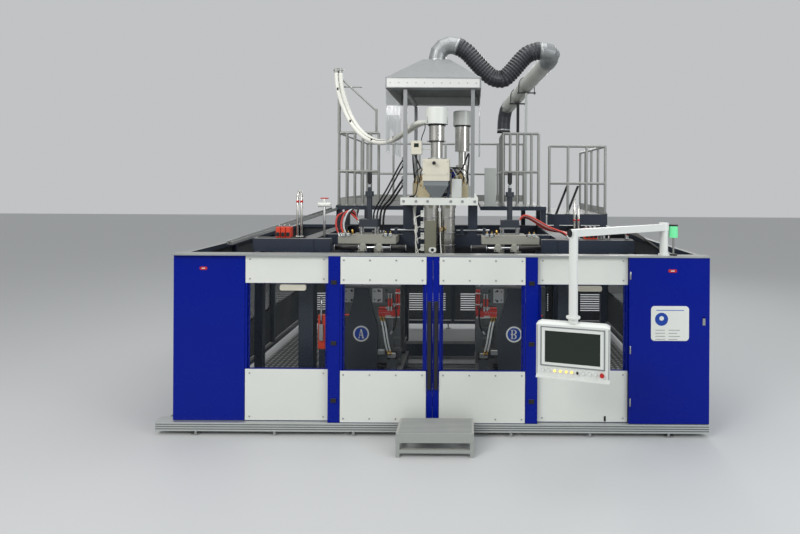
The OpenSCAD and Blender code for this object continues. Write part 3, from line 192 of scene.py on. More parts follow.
def finish_group():
    """Colour drift, rub marks and settled dust of a painted or metal surface."""
    t, i, o = group("Finish", [("Vector", "NodeSocketVector", (0, 0, 0)),
                               ("Base", "NodeSocketColor", (1, 1, 1, 1)),
                               ("Worn", "NodeSocketColor", (1, 1, 1, 1)), ("Scale", "NodeSocketFloat", 3.0),
                               ("Mottle", "NodeSocketFloat", 0.1), ("Dust", "NodeSocketFloat", 0.2),
                               ("Rough", "NodeSocketFloat", 0.4)],
                    [("Color", "NodeSocketColor"), ("Rough", "NodeSocketFloat"), ("Mask", "NodeSocketFloat")])
    v = i.outputs["Vector"]
    big = ramp(t, noise(t, v, i.outputs["Scale"], 5), 0.3, 0.7)
    rub = ramp(t, noise(t, stretched(t, v, (1, 1, 0.25)), 9, 8, 0.7), 0.6, 0.78)
    fine = ramp(t, noise(t, v, 55, 3), 0.35, 0.65)
    both = maths(t, "ADD", maths(t, "MULTIPLY", big, 0.7), maths(t, "MULTIPLY", fine, 0.3))
    drift = maths(t, "MULTIPLY", both, i.outputs["Mottle"])
    dark = t.nodes.new("ShaderNodeHueSaturation")
    dark.inputs["Value"].default_value = 0.62
    t.links.new(i.outputs["Base"], dark.inputs["Color"])
    c = mix(t, drift, i.outputs["Base"], dark.outputs["Color"])
    c = mix(t, maths(t, "MULTIPLY", maths(t, "MULTIPLY", rub, i.outputs["Mottle"]), 0.9), c,
            i.outputs["Worn"])
    geo = t.nodes.new("ShaderNodeNewGeometry")
    up = t.nodes.new("ShaderNodeSeparateXYZ")
    t.links.new(geo.outputs["Normal"], up.inputs[0])
    settled = maths(t, "MULTIPLY", ramp(t, up.outputs["Z"], 0.5, 1.0),
                    ramp(t, noise(t, v, 6, 6), 0.25, 0.75, 0.35, 1))
    settled = maths(t, "MULTIPLY", settled, i.outputs["Dust"])
    c = mix(t, settled, c, lin(176, 172, 162))
    t.links.new(c, o.inputs["Color"])
    r = maths(t, "ADD", i.outputs["Rough"], maths(t, "MULTIPLY", maths(t, "SUBTRACT", big, 0.5), 0.16))
    t.links.new(maths(t, "ADD", r, maths(t, "MULTIPLY", settled, 0.35)), o.inputs["Rough"])
    t.links.new(rub, o.inputs["Mask"])
    return t


def grain_group():
    """Bump from a fine stretched grain and a wide, weak waviness."""
    t, i, o = group("Grain", [("Vector", "NodeSocketVector", (0, 0, 0)), ("Scale", "NodeSocketFloat", 120.0),
                              ("Depth", "NodeSocketFloat", 0.1), ("Wave", "NodeSocketFloat", 0.05)],
                    [("Normal", "NodeSocketVector")])
    a = t.nodes.new("ShaderNodeBump")
    a.inputs["Distance"].default_value = 0.002
    t.links.new(i.outputs["Depth"], a.inputs["Strength"])
    t.links.new(noise(t, i.outputs["Vector"], i.outputs["Scale"], 3), a.inputs["Height"])
    b = t.nodes.new("ShaderNodeBump")
    b.inputs["Distance"].default_value = 0.02
    t.links.new(i.outputs["Wave"], b.inputs["Strength"])
    t.links.new(noise(t, i.outputs["Vector"], 2.5, 2), b.inputs["Height"])
    t.links.new(a.outputs[0], b.inputs["Normal"])
    t.links.new(b.outputs[0], o.inputs["Normal"])
    return t


FINISH = finish_group()
GRAIN = grain_group()
MATS = {}
PAINT_IOR, PANE_IOR = 1.45, 1.5
COAT_ROUGH = 0.12


def mat(name, base, rough=0.4, metal=0.0, worn=None, scale=2.5, mottle=0.12, dust=0.15, grain=160, depth=0.05,
        wave=0.03, stretch=(1, 1, 1), coat=0.0, emit=0.0, spec=0.5, rings=None, lugs=None):
    """Paint, metal, rubber or plastic. rings are ribs along one axis, as (axis, spacing in metres, strength),
    with painted shade in their troughs.
    lugs is the spacing in metres of the raised lugs of checker plate."""
    m = bpy.data.materials.new(name)
    m.use_nodes = True
    t = m.node_tree
    p = t.nodes["Principled BSDF"]
    tc = t.nodes.new("ShaderNodeTexCoord")
    f = t.nodes.new("ShaderNodeGroup")
    f.node_tree = FINISH
    g = t.nodes.new("ShaderNodeGroup")
    g.node_tree = GRAIN
    v = tc.outputs["Object"]
    t.links.new(v, f.inputs["Vector"])
    t.links.new(stretched(t, v, stretch), g.inputs["Vector"])
    base = lin(*base)
    f.inputs["Base"].default_value = base
    f.inputs["Worn"].default_value = lin(*worn) if worn else tuple(min(1, c * 1.6 + 0.01)
                                                                   for c in base[:3]) + (1,)
    for k, x in (("Scale", scale), ("Mottle", mottle), ("Dust", dust), ("Rough", rough)):
        f.inputs[k].default_value = x
    for k, x in (("Scale", grain), ("Depth", depth), ("Wave", wave)):
        g.inputs[k].default_value = x
    color = f.outputs["Color"]
    normal = g.outputs["Normal"]
    if rings:
        axis, pitch, strength = rings
        s = t.nodes.new("ShaderNodeSeparateXYZ")
        t.links.new(v, s.inputs[0])
        wave_value = maths(t, "SINE", maths(t, "MULTIPLY", s.outputs[axis], 2 * math.pi / pitch), 0)
        normal = bump(t, wave_value, normal, strength, pitch * 0.3)
        # Painted shade: the colour darkens towards black in the troughs between the ribs
        color = mix(t, ramp(t, wave_value, -1, 0.2, 0.35 * strength, 0), color, (0.01, 0.01, 0.01, 1))
    if lugs:
        s = t.nodes.new("ShaderNodeSeparateXYZ")
        t.links.new(v, s.inputs[0])
        u = maths(t, "MULTIPLY", maths(t, "ADD", s.outputs[0], s.outputs[1]), 2 * math.pi / lugs)
        w = maths(t, "MULTIPLY", maths(t, "SUBTRACT", s.outputs[0], s.outputs[1]), 2 * math.pi / lugs)
        both = maths(t, "MULTIPLY", maths(t, "SINE", u, 0), maths(t, "SINE", w, 0))
        lug = ramp(t, maths(t, "MULTIPLY", both, noise(t, v, 9.0, 3, 0.6)), 0.1, 0.3, 0, 1)
        normal = bump(t, lug, normal, 0.5, 0.004)
        color = mix(t, lug, color, (0.72, 0.73, 0.72, 1))
    t.links.new(color, p.inputs["Base Color"])
    t.links.new(f.outputs["Rough"], p.inputs["Roughness"])
    t.links.new(normal, p.inputs["Normal"])
    p.inputs["Metallic"].default_value = metal
    p.inputs["IOR"].default_value = PAINT_IOR
    p.inputs["Specular IOR Level"].default_value = spec
    p.inputs["Coat Weight"].default_value = coat
    p.inputs["Coat Roughness"].default_value = COAT_ROUGH
    if emit:
        p.inputs["Emission Color"].default_value = base
        p.inputs["Emission Strength"].default_value = emit
    MATS[name] = m


mat("blue", (2, 24, 130), 0.3, coat=0.03, spec=0.14, mottle=0.12, worn=(12, 42, 148), dust=0.02, grain=420,
    depth=0.05, wave=0.05)
mat("white", (211, 214, 208), 0.36, coat=0.1, mottle=0.1, worn=(176, 172, 160), dust=0.15, grain=420,
    depth=0.05, wave=0.05)
mat("slate", (38, 46, 60), 0.42, mottle=0.3, worn=(96, 100, 106), dust=0.45, grain=300, depth=0.08)
mat("capbeam", (176, 180, 178), 0.36, 0.75, mottle=0.2, dust=0.25, grain=90, depth=0.08, stretch=(0.03, 1, 1))
mat("alu", (198, 202, 200), 0.36, 0.75, mottle=0.22, dust=0.2, grain=110, depth=0.09, stretch=(0.03, 1, 1))
mat("zinc", (168, 170, 170), 0.38, 0.9, mottle=0.3, dust=0.3, grain=60, depth=0.06)
mat("steel", (182, 182, 178), 0.26, 1.0, mottle=0.25, dust=0.1, grain=220, depth=0.08, stretch=(1, 1, 0.05))
mat("polished", (205, 207, 208), 0.12, 1.0, mottle=0.12, dust=0.05, grain=300, depth=0.03)
mat("stainless", (190, 188, 182), 0.24, 0.95, mottle=0.15, dust=0.12, grain=160, depth=0.07,
    stretch=(1, 1, 0.04))
mat("platen", (92, 96, 98), 0.42, 0.55, mottle=0.4, worn=(140, 140, 138), dust=0.3, grain=70, depth=0.1)
mat("cover", (44, 50, 58), 0.46, mottle=0.28, worn=(92, 98, 104), dust=0.2, grain=240, depth=0.1)
mat("mould", (164, 166, 168), 0.3, 0.95, mottle=0.2, dust=0.1, grain=180, depth=0.06, stretch=(1, 1, 0.08))
mat("cast", (150, 150, 140), 0.5, 0.1, mottle=0.3, worn=(190, 188, 178), dust=0.3, grain=90,
    depth=0.16, wave=0.08)
mat("galv", (150, 153, 154), 0.42, 0.6, mottle=0.4, worn=(186, 188, 188), dust=0.12, scale=7, grain=34,
    depth=0.05, wave=0.09)
mat("duct_dark", (62, 64, 68), 0.4, 0.55, mottle=0.4, worn=(120, 122, 124), dust=0.35, grain=60, depth=0.12)
mat("duct_pale", (190, 192, 184), 0.42, 0.45, mottle=0.35, dust=0.2, grain=60, depth=0.08, wave=0.1)
mat("cream", (204, 200, 184), 0.4, mottle=0.18, worn=(170, 164, 146), dust=0.2, grain=200, depth=0.06)
mat("lagging", (206, 194, 162), 0.85, mottle=0.4, worn=(150, 132, 100), dust=0.2, grain=130,
    depth=0.5, wave=0.25)
mat("grey", (188, 192, 188), 0.38, mottle=0.12, worn=(150, 150, 146), dust=0.15, grain=380, depth=0.06)
mat("midgrey", (120, 126, 128), 0.45, mottle=0.2, dust=0.25, grain=300, depth=0.08)
mat("rail", (150, 152, 148), 0.36, 0.35, mottle=0.25, worn=(196, 198, 194), dust=0.2, grain=200, depth=0.06)
mat("black", (20, 20, 22), 0.45, mottle=0.2, worn=(60, 60, 62), dust=0.2, grain=260, depth=0.12)
mat("red", (178, 26, 22), 0.35, mottle=0.16, worn=(214, 92, 80), dust=0.15, grain=260, depth=0.06)
mat("orange", (206, 62, 34), 0.4, mottle=0.2, worn=(226, 120, 90), dust=0.2, grain=260, depth=0.06)
mat("brass", (196, 158, 84), 0.28, 1.0, mottle=0.25, dust=0.1, grain=180, depth=0.06)
mat("lit", (250, 206, 96), 0.25, mottle=0.05, dust=0.0, grain=200, depth=0.02, emit=1.1)
mat("hose_white", (222, 222, 214), 0.42, mottle=0.14, worn=(180, 176, 160), dust=0.2, grain=90, depth=0.08)
mat("hose_red", (196, 60, 52), 0.4, mottle=0.2, dust=0.15, grain=160, depth=0.08)
mat("hose_pale", (190, 196, 196), 0.3, mottle=0.15, dust=0.1, grain=160, depth=0.05)
mat("hose_blue", (52, 92, 176), 0.35, mottle=0.15, dust=0.1, grain=160, depth=0.05)
mat("green_lens", (112, 222, 156), 0.2, mottle=0.08, dust=0.05, emit=0.12, coat=0.4)
mat("belt", (28, 74, 52), 0.6, mottle=0.3, worn=(90, 120, 100), dust=0.4, grain=140, depth=0.2)
mat("badge", (8, 58, 150), 0.3, mottle=0.08, dust=0.03)
mat("screen", (30, 39, 33), 0.14, mottle=0.1, dust=0.01, coat=0.1, spec=0.3, grain=300, depth=0.0, wave=0.0)
mat("slot_dark", (8, 9, 10), 0.6, mottle=0.1, dust=0.1)
mat("olive", (112, 112, 96), 0.45, mottle=0.3, dust=0.25, grain=220, depth=0.1)
mat("deck", (92, 96, 98), 0.45, 0.5, mottle=0.35, worn=(150, 152, 150), dust=0.3, grain=26, depth=0.9)
mat("jacket", (112, 114, 112), 0.34, 0.9, mottle=0.35, dust=0.3, grain=120, depth=0.08,
    rings=("Y", 0.05, 0.35))
mat("checker", (96, 100, 100), 0.36, 0.5, mottle=0.3, dust=0.25, grain=60, depth=0.06, lugs=0.17)
# Dark grey of the inside faces of the guard's walls: painted shade, which darkens the inside seen through the
# windows
mat("inner", (58, 62, 66), 0.55, mottle=0.3, dust=0.3, grain=260, depth=0.08)
# Lighter copy of white for the operator panel: painted light, which makes up for the shade on the turned
# panel
mat("hmi_painted_lit_white", (216, 219, 215), 0.36, mottle=0.08, worn=(186, 186, 180), dust=0.08, grain=380, depth=0.05)
mat("step_grey", (152, 156, 152), 0.42, mottle=0.18, worn=(186, 186, 182), dust=0.3, grain=300, depth=0.07)
# Lighter copy of galv: painted highlight on the upright sides of the hood
mat("galv_painted_lit", (212, 214, 211), 0.42, 0.3, mottle=0.25, worn=(186, 188, 188), dust=0.12, scale=7, grain=34,
    depth=0.05, wave=0.09)


def pane(name, tint, rough, alpha, haze):
    """Clear sheet with a slight tint, faint smears and a mirror gloss."""
    m = bpy.data.materials.new(name)
    m.use_nodes = True
    m.blend_method = "BLEND"
    t = m.node_tree
    p = t.nodes["Principled BSDF"]
    tc = t.nodes.new("ShaderNodeTexCoord")
    v = tc.outputs["Object"]
    f = t.nodes.new("ShaderNodeGroup")
    f.node_tree = FINISH
    t.links.new(v, f.inputs["Vector"])
    f.inputs["Base"].default_value = lin(*tint)
    f.inputs["Worn"].default_value = (0.8, 0.8, 0.8, 1)
    f.inputs["Rough"].default_value = rough
    t.links.new(f.outputs["Color"], p.inputs["Base Color"])
    t.links.new(f.outputs["Rough"], p.inputs["Roughness"])
    smear = ramp(t, noise(t, stretched(t, v, (1, 1, 0.3)), 3.0, 6, 0.6), 0.35, 0.8, alpha, alpha + haze)
    t.links.new(smear, p.inputs["Alpha"])
    p.inputs["IOR"].default_value = PANE_IOR
    MATS[name] = m


pane("window", (52, 58, 60), 0.04, 0.05, 0.06)
pane("smoked", (40, 46, 48), 0.05, 0.6, 0.1)
pane("pvc", (206, 214, 214), 0.16, 0.22, 0.25)


CHAMFER = 0.0015  # of a turned rod, in metres
# Ferrule and nut of a hose end, as (share of the length, share of the hose's diameter)
FERRULE = ((0, 0.6), (0.08, 0.72), (0.3, 0.72), (0.34, 0.62), (0.9, 0.66), (1, 0.55))
HOSE_SIDES, HOSE_STEPS = 9, 6


class Piece:
    """One mesh built from bevelled blocks, turned rods, tubes and plates, which rides on a body."""

    def __init__(self, name, body="machine"):
        self.name, self.body, self.bm, self.mats = name, body, bmesh.new(), []
        self.turn = Matrix()

    def slot(self, m):
        """Number of the material m in this piece."""
        if m not in self.mats:
            self.mats.append(m)
        return self.mats.index(m)

    def take(self, part, m, smooth=False):
        """Add a part, made of the material m, and free it."""
        k = self.slot(m)
        bmesh.ops.recalc_face_normals(part, faces=part.faces)
        for f in part.faces:
            f.material_index = k
            f.smooth = smooth and len(f.verts) < 6
        part.transform(self.turn)
        me = bpy.data.meshes.new("t")
        part.to_mesh(me)
        part.free()
        self.bm.from_mesh(me)
        bpy.data.meshes.remove(me)

    def shell(self, rings, m, smooth):
        """Closed skin over rings of points, flat at both ends."""
        part = bmesh.new()
        rings = [[part.verts.new(q) for q in ring] for ring in rings]
        n = len(rings[0])
        for r0, r1 in zip(rings, rings[1:]):
            for i in range(n):
                part.faces.new((r0[i], r0[(i + 1) % n], r1[(i + 1) % n], r1[i]))
        part.faces.new(rings[0][::-1])
        part.faces.new(rings[-1])
        self.take(part, m, smooth)

    def box(self, x, y, z, m, r=0.002):
        """Block between two x, two y and two z, with its edges bevelled by r."""
        part = bmesh.new()
        bmesh.ops.create_cube(part, size=1)
        s = (x[1] - x[0], y[1] - y[0], z[1] - z[0])
        bmesh.ops.scale(part, vec=s, verts=part.verts)
        bmesh.ops.translate(part, vec=((x[0] + x[1]) / 2, (y[0] + y[1]) / 2, (z[0] + z[1]) / 2),
                            verts=part.verts)
        r = min(r, 0.3 * min(abs(c) for c in s))
        bmesh.ops.bevel(part, geom=part.edges[:], offset=r, segments=1, profile=0.6, affect="EDGES")
        self.take(part, m)

    def turned(self, a, b, profile, m, n=20):
        """Turned shape from a to b. profile lists (share of the length, radius)."""
        a, b = Vector(a), Vector(b)
        w = b - a
        q = w.to_track_quat("Z", "Y")
        around = [2 * math.pi * i / n for i in range(n)]
        self.shell([[a + w * t + q @ Vector((rad * math.cos(u), rad * math.sin(u), 0)) for u in around]
                    for t, rad in profile], m, True)

    def rod(self, a, b, d, m, n=16):
        """Rod of diameter d with a chamfer at both ends."""
        length = (Vector(b) - Vector(a)).length
        k = min(CHAMFER, d * 0.2) / length
        self.turned(a, b, [(0, d / 2 - k * length), (k, d / 2), (1 - k, d / 2), (1, d / 2 - k * length)], m,
                    n)

    def tube(self, path, d, m, n):
        """Round tube of diameter d along the points."""
        p = [Vector(q) for q in path]
        around = [2 * math.pi * i / n for i in range(n)]
        up = Vector((0, 0, 1))
        t0 = (p[1] - p[0]).normalized()
        side = t0.cross(up) if abs(t0.z) < 0.9 else t0.cross(Vector((0, 1, 0)))
        rings = []
        for k, q in enumerate(p):
            t = (p[min(k + 1, len(p) - 1)] - p[max(k - 1, 0)]).normalized()
            side = (side - t * side.dot(t)).normalized()
            other = t.cross(side)
            rings.append([q + d / 2 * (math.cos(u) * side + math.sin(u) * other) for u in around])
        self.shell(rings, m, True)

    def bent(self, points, steps, d, m, n):
        """Tube along the smooth curve through the points."""
        self.tube(spline(points, steps), d, m, n)

    def hose(self, points, d, m, end):
        """Hose through the points with a crimped ferrule and a nut at each end."""
        path = spline(points, HOSE_STEPS)
        self.tube(path, d, m, HOSE_SIDES)
        for a, b in ((path[0], path[2]), (path[-1], path[-3])):
            w = (b - a).normalized()
            self.turned(a - w * d * 0.2, a + w * d * 2.4, [(t, d * share) for t, share in FERRULE], end, 8)

    def plate(self, outline, y0, y1, m, r=0.0015):
        """Plate with an outline of (x, z) points between y0 and y1."""
        part = bmesh.new()
        f = part.faces.new([part.verts.new((x, y0, z)) for x, z in outline])
        e = bmesh.ops.extrude_face_region(part, geom=[f])
        moved = [v for v in e["geom"] if isinstance(v, bmesh.types.BMVert)]
        bmesh.ops.translate(part, vec=(0, y1 - y0, 0), verts=moved)
        bmesh.ops.recalc_face_normals(part, faces=part.faces)
        if r:
            bmesh.ops.bevel(part,
                            geom=[g for g in part.edges if abs(g.verts[0].co.y - g.verts[1].co.y) < 1e-6],
                            offset=r, segments=1, affect="EDGES")
        self.take(part, m)

    def border(self, x, y, z, w, m, r):
        """Four bars of width w along the edges of a rectangle across x and z."""
        for bar in ((x[0], x[0] + w), (x[1] - w, x[1])):
            self.box(bar, y, z, m, r)
        for bar in ((z[0], z[0] + w), (z[1] - w, z[1])):
            self.box(x, y, bar, m, r)

    def disc(self, c, r, y0, y1, m):
        """Round plate with its middle at c, as (x, z), between y0 and y1."""
        n = 32
        self.plate([(c[0] + r * math.cos(2 * math.pi * i / n), c[1] + r * math.sin(2 * math.pi * i / n))
                    for i in range(n)], y0, y1, m, min(0.001, abs(y1 - y0) * 0.4))

    def done(self, *replaced):
        """Link the finished piece, which rides on its body and takes the place of the nodes named."""
        me = bpy.data.meshes.new(self.name)
        self.bm.to_mesh(me)
        self.bm.free()
        for m in self.mats:
            me.materials.append(MATS[m])
        o = bpy.data.objects.new(self.name, me)
        bpy.context.scene.collection.objects.link(o)
        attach(o, self.body)
        if replaced:
            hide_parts(*replaced)
        return o


def rounded(x, z, r):
    """Outline of a rectangle with rounded corners."""
    out, n = [], 5
    corners = ((x[1] - r, z[1] - r), (x[0] + r, z[1] - r), (x[0] + r, z[0] + r), (x[1] - r, z[0] + r))
    for quarter, (cx, cz) in enumerate(corners):
        for k in range(n + 1):
            t = math.radians(90 * quarter + 90 * k / n)
            out.append((cx + r * math.cos(t), cz + r * math.sin(t)))
    return out


def screw_tree():
    """Node tree that puts a hexagon head and its washer on each point."""
    t = bpy.data.node_groups.new("Screws", "GeometryNodeTree")
    t.interface.new_socket("Geometry", in_out="INPUT", socket_type="NodeSocketGeometry")
    sockets = {}
    for n, kind, default in (("Across", "NodeSocketFloat", 0.013), ("Height", "NodeSocketFloat", 0.006),
                             ("Facing", "NodeSocketVector", (0, 0, 0)), ("Seed", "NodeSocketInt", 7),
                             ("Material", "NodeSocketMaterial", None)):
        s = t.interface.new_socket(n, in_out="INPUT", socket_type=kind)
        if default is not None:
            s.default_value = default
        sockets[n] = s.identifier
    t.interface.new_socket("Geometry", in_out="OUTPUT", socket_type="NodeSocketGeometry")
    i, o = t.nodes.new("NodeGroupInput"), t.nodes.new("NodeGroupOutput")

    join = t.nodes.new("GeometryNodeJoinGeometry")
    # Hexagon head and washer, as sides, radius, foot and height in shares of Across and Height
    for sides, k, h0, h in ((6, 0.5, 0.25, 1.0), (16, 0.75, 0.0, 0.3)):
        c = t.nodes.new("GeometryNodeMeshCylinder")
        c.inputs["Vertices"].default_value = sides
        t.links.new(maths(t, "MULTIPLY", i.outputs["Across"], k), c.inputs["Radius"])
        depth = maths(t, "MULTIPLY", i.outputs["Height"], h)
        t.links.new(depth, c.inputs["Depth"])
        move = t.nodes.new("GeometryNodeTransform")
        lift = t.nodes.new("ShaderNodeCombineXYZ")
        t.links.new(maths(t, "ADD", maths(t, "MULTIPLY", depth, 0.5),
                          maths(t, "MULTIPLY", i.outputs["Height"], h0)), lift.inputs["Z"])
        t.links.new(c.outputs["Mesh"], move.inputs["Geometry"])
        t.links.new(lift.outputs[0], move.inputs["Translation"])
        t.links.new(move.outputs[0], join.inputs[0])
    spin = t.nodes.new("FunctionNodeRandomValue")
    spin.data_type = "FLOAT"
    spin.inputs[3].default_value = math.pi  # largest turn
    t.links.new(i.outputs["Seed"], spin.inputs["Seed"])
    turn = t.nodes.new("ShaderNodeCombineXYZ")
    t.links.new(spin.outputs[1], turn.inputs["Z"])
    put = t.nodes.new("GeometryNodeInstanceOnPoints")
    t.links.new(i.outputs["Geometry"], put.inputs["Points"])
    t.links.new(join.outputs[0], put.inputs["Instance"])
    t.links.new(i.outputs["Facing"], put.inputs["Rotation"])
    twist = t.nodes.new("GeometryNodeRotateInstances")
    t.links.new(put.outputs[0], twist.inputs["Instances"])
    t.links.new(turn.outputs[0], twist.inputs["Rotation"])
    twist.inputs["Local Space"].default_value = True
    real = t.nodes.new("GeometryNodeRealizeInstances")
    t.links.new(twist.outputs[0], real.inputs[0])
    sm = t.nodes.new("GeometryNodeSetMaterial")
    t.links.new(real.outputs[0], sm.inputs["Geometry"])
    t.links.new(i.outputs["Material"], sm.inputs["Material"])
    t.links.new(sm.outputs[0], o.inputs[0])
    return t, sockets


SCREWS, SCREW_INPUTS = screw_tree()
FACING = {"-y": (math.pi / 2, 0, 0), "+y": (-math.pi / 2, 0, 0), "-x": (0, -math.pi / 2, 0),
          "+x": (0, math.pi / 2, 0), "+z": (0, 0, 0)}


def screws(name, points, facing, across, m, body, height, seed):
    """Screws on the points, made a plain mesh that rides on the body."""
    me = bpy.data.meshes.new(name)
    me.from_pydata([tuple(p) for p in points], [], [])
    o = bpy.data.objects.new(name + "_points", me)
    bpy.context.scene.collection.objects.link(o)
    mod = o.modifiers.new("screws", "NODES")
    mod.node_group = SCREWS
    for k, v in (("Across", across), ("Height", height), ("Facing", FACING[facing]), ("Seed", seed),
                 ("Material", MATS[m])):
        mod[SCREW_INPUTS[k]] = v
    bpy.context.view_layer.update()
    made = bpy.data.meshes.new_from_object(o.evaluated_get(bpy.context.evaluated_depsgraph_get()))
    made.name = name
    bpy.data.objects.remove(o)
    out = bpy.data.objects.new(name, made)
    bpy.context.scene.collection.objects.link(out)
    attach(out, body)


def paint(node, first, *rules):
    """Materials of a solid. Each rule gives its material to the faces whose middle passes its test."""
    o = NODE[node]
    me = o.data
    me.materials.clear()
    names = [first] + [r[0] for r in rules]
    for n in names:
        me.materials.append(MATS[n])
    mw = o.matrix_world
    for f in me.polygons:
        c = mw @ f.center
        f.material_index = 0
        for k, (_, test) in enumerate(rules):
            if test(c, f.normal):
                f.material_index = k + 1


def within(x0=-9, x1=9, y0=-9, y1=9, z0=-9, z1=9):
    """Test for a middle inside this box. A side that isn't given lies beyond the machine."""
    return lambda c, n: x0 <= c.x <= x1 and y0 <= c.y <= y1 and z0 <= c.z <= z1


# Suction hoses: the routes are those of part.scad
HOSE_D = 0.06
HOSE_L = [(-1.633, 0.213, 4.567), (-1.633, 0.213, 4.555), (-1.63, 0.213, 4.46), (-1.606, 0.206, 4.3),
          (-1.556, 0.19, 4.13), (-1.483, 0.155, 3.96), (-1.39, 0.1, 3.8), (-1.275, 0.022, 3.665),
          (-1.15, -0.072, 3.565), (-1.02, -0.18, 3.5), (-0.89, -0.3, 3.468), (-0.765, -0.428, 3.467),
          (-0.65, -0.56, 3.5), (-0.548, -0.672, 3.552), (-0.455, -0.762, 3.61), (-0.372, -0.83, 3.658),
          (-0.296, -0.889, 3.69), (-0.231, -0.938, 3.7), (-0.219, -0.947, 3.7)]
HOSE_R = [(-1.567, 0.213, 4.567), (-1.567, 0.213, 4.555), (-1.564, 0.214, 4.465), (-1.54, 0.211, 4.305),
          (-1.49, 0.2, 4.138), (-1.425, 0.185, 3.968), (-1.338, 0.14, 3.812), (-1.229, 0.069, 3.68),
          (-1.107, -0.022, 3.583), (-0.976, -0.13, 3.52), (-0.844, -0.253, 3.49), (-0.716, -0.384, 3.49),
          (-0.601, -0.516, 3.52), (-0.5, -0.622, 3.566), (-0.392, -0.704, 3.622), (-0.305, -0.77, 3.668),
          (-0.241, -0.818, 3.692), (-0.177, -0.866, 3.7), (-0.165, -0.875, 3.7)]


for name, route in (("suction_hose_left", HOSE_L), ("suction_hose_right", HOSE_R)):
    path = [Vector(route[0])] + spline(route[1:-1], 10) + [Vector(route[-1])]
    h = Piece(name.replace("suction", "white"))
    h.tube(path, HOSE_D, "hose_white", 20)
    o = h.done(name)


# Materials of the carried-over solids
paint("front_sill", "alu", ("midgrey", lambda c, n: FY + 0.0005 < c.y < FY + 0.0065 and 0.06 < c.z < 0.135))
paint("levelling_feet", "zinc")
paint("guard_frame", "slate", ("capbeam", within(z0=2.0565)))
paint("fixed_panels", "blue")
for s in "ab":
    paint(f"door_{s}", "blue",
          ("black", lambda c, n: c.z > TOP + 0.0001 or c.z < LOW - 0.0001))
    paint(f"door_{s}_window", "window")
    paint(f"door_{s}_handle", "black")
paint("fixed_windows", "window", ("smoked", lambda c, n: c.y > FRAME_Y + 0.2))
# The walls are white, with blue in the first bay and at the rear corners; inner gives their inside faces a
# dark painted shade
paint("enclosure_panels", "white", ("blue", lambda c, n: c.y < FRAME_Y + BAY - 0.004 or (
    c.y > REAR - 0.004 and (c.x < LEFT + (RIGHT - LEFT) / 6 - 0.003 or c.x > RIGHT - (RIGHT - LEFT) / 6))),
      ("inner", lambda c, n: (c.x < LEFT + 0.01 and n.x > 0.5) or (c.x > RIGHT - 0.01 and n.x < -0.5)
       or (c.y > REAR - 0.01 and n.y < -0.5)))
paint("cabinet_door", "blue")
paint("cabinet_latch", "zinc")
paint("machine_frame", "slate", ("polished", within(-1.49, 1.49, MY - 0.38, MY + 0.68, 0.2605, 0.311)))
for s, cx, out in STATIONS:
    paint(f"carriage_{s}", "slate", ("polished", within(z0=0.4405)))
    paint(f"front_platen_{s}", "platen",
          ("cover", lambda c, n: c.y < FACE - 0.0005 and abs(c.x - cx - out * 0.04) < 0.2055),
          ("zinc", lambda c, n: FACE - 0.016 < c.y < FACE - 0.0005 and 1.384 < c.z < 1.561
           and abs(c.x - cx - out * 0.04) > 0.094),
          ("red", lambda c, n: c.y < FACE - 0.0005 and 1.234 < c.z < 1.304 and abs(c.x - cx) > 0.172
           and (c.x - cx) * out < 0),
          ("steel", lambda c, n: c.y < FACE - 0.0005 and 1.194 < c.z < 1.213 and (c.x - cx) * out < -0.172),
          ("badge", lambda c, n: c.y < FACE - 0.0452 and abs(c.x - cx - out * 0.04) < 0.105
           and 0.89 < c.z < 1.11))
    paint(f"rear_platen_{s}", "platen", ("polished", within(y0=MY + 0.2605)))
    paint(f"clamp_yoke_{s}", "slate", ("polished", within(y1=MY + 0.6995)),
          ("midgrey", within(y0=MY + 0.7905)))
    paint(f"mould_front_{s}", "mould")
    paint(f"mould_rear_{s}", "mould")
    paint(f"blow_pins_{s}", "polished")
paint("blow_units", "cast", ("polished", within(z0=2.2265, z1=2.3235)),
      ("cover", within(z0=2.3235, z1=2.838)), ("polished", within(z0=2.8385, z1=2.8765)),
      ("black", within(z0=2.8765)), ("slate", within(-0.6, 0.66, MY + 0.13, MY + 0.24, 2.201, 2.2905)),
      ("polished", lambda c, n: abs(c.y - MY - 0.155) < 0.014 and abs(c.z - 2.266) < 0.014))
paint("die_head", "stainless", ("olive", within(y1=MY - 0.0985)),
      ("white", within(y1=MY - 0.1525, z0=1.99, z1=2.09)),
      ("white", within(x1=HX - 0.11 - 0.0965, z0=2.0, z1=2.545)))
paint("die_mandrels", "brass")
paint("extruder_bed", "white", ("slate", within(z1=2.6105)), ("slate", within(z0=2.7065)))
paint("extruder_barrel", "jacket", ("lagging", lambda c, n: abs(c.x - HX) > 0.1395 and c.y < MY + 0.36),
      ("steel", within(HX - 0.1395, HX + 0.1395, MY + 0.165, MY + 0.2505, 2.7, 2.962)),
      ("steel", within(y0=MY + 1.995, z0=2.945)))
paint("extruder_screw", "polished")
paint("extruder_drive", "blue", ("slate", within(y0=MY + 2.6705)))
paint("hopper", "cream", ("midgrey", within(z1=2.9245)), ("black", within(y1=MY - 0.2105)))
paint("loaders", "stainless", ("black", lambda c, n: 3.4295 < c.z < 3.4465 or 3.6395 < c.z < 3.6625 or (
    3.7195 < c.z < 3.7425 and c.x > 0.15)), ("white", lambda c, n: c.z > 3.6625 and c.y < MY + 0.3),
    ("white", lambda c, n: c.z > 3.7425), ("grey", within(-0.36, -0.12, MY - 0.11, MY + 0.01, 3.26, 3.45)))
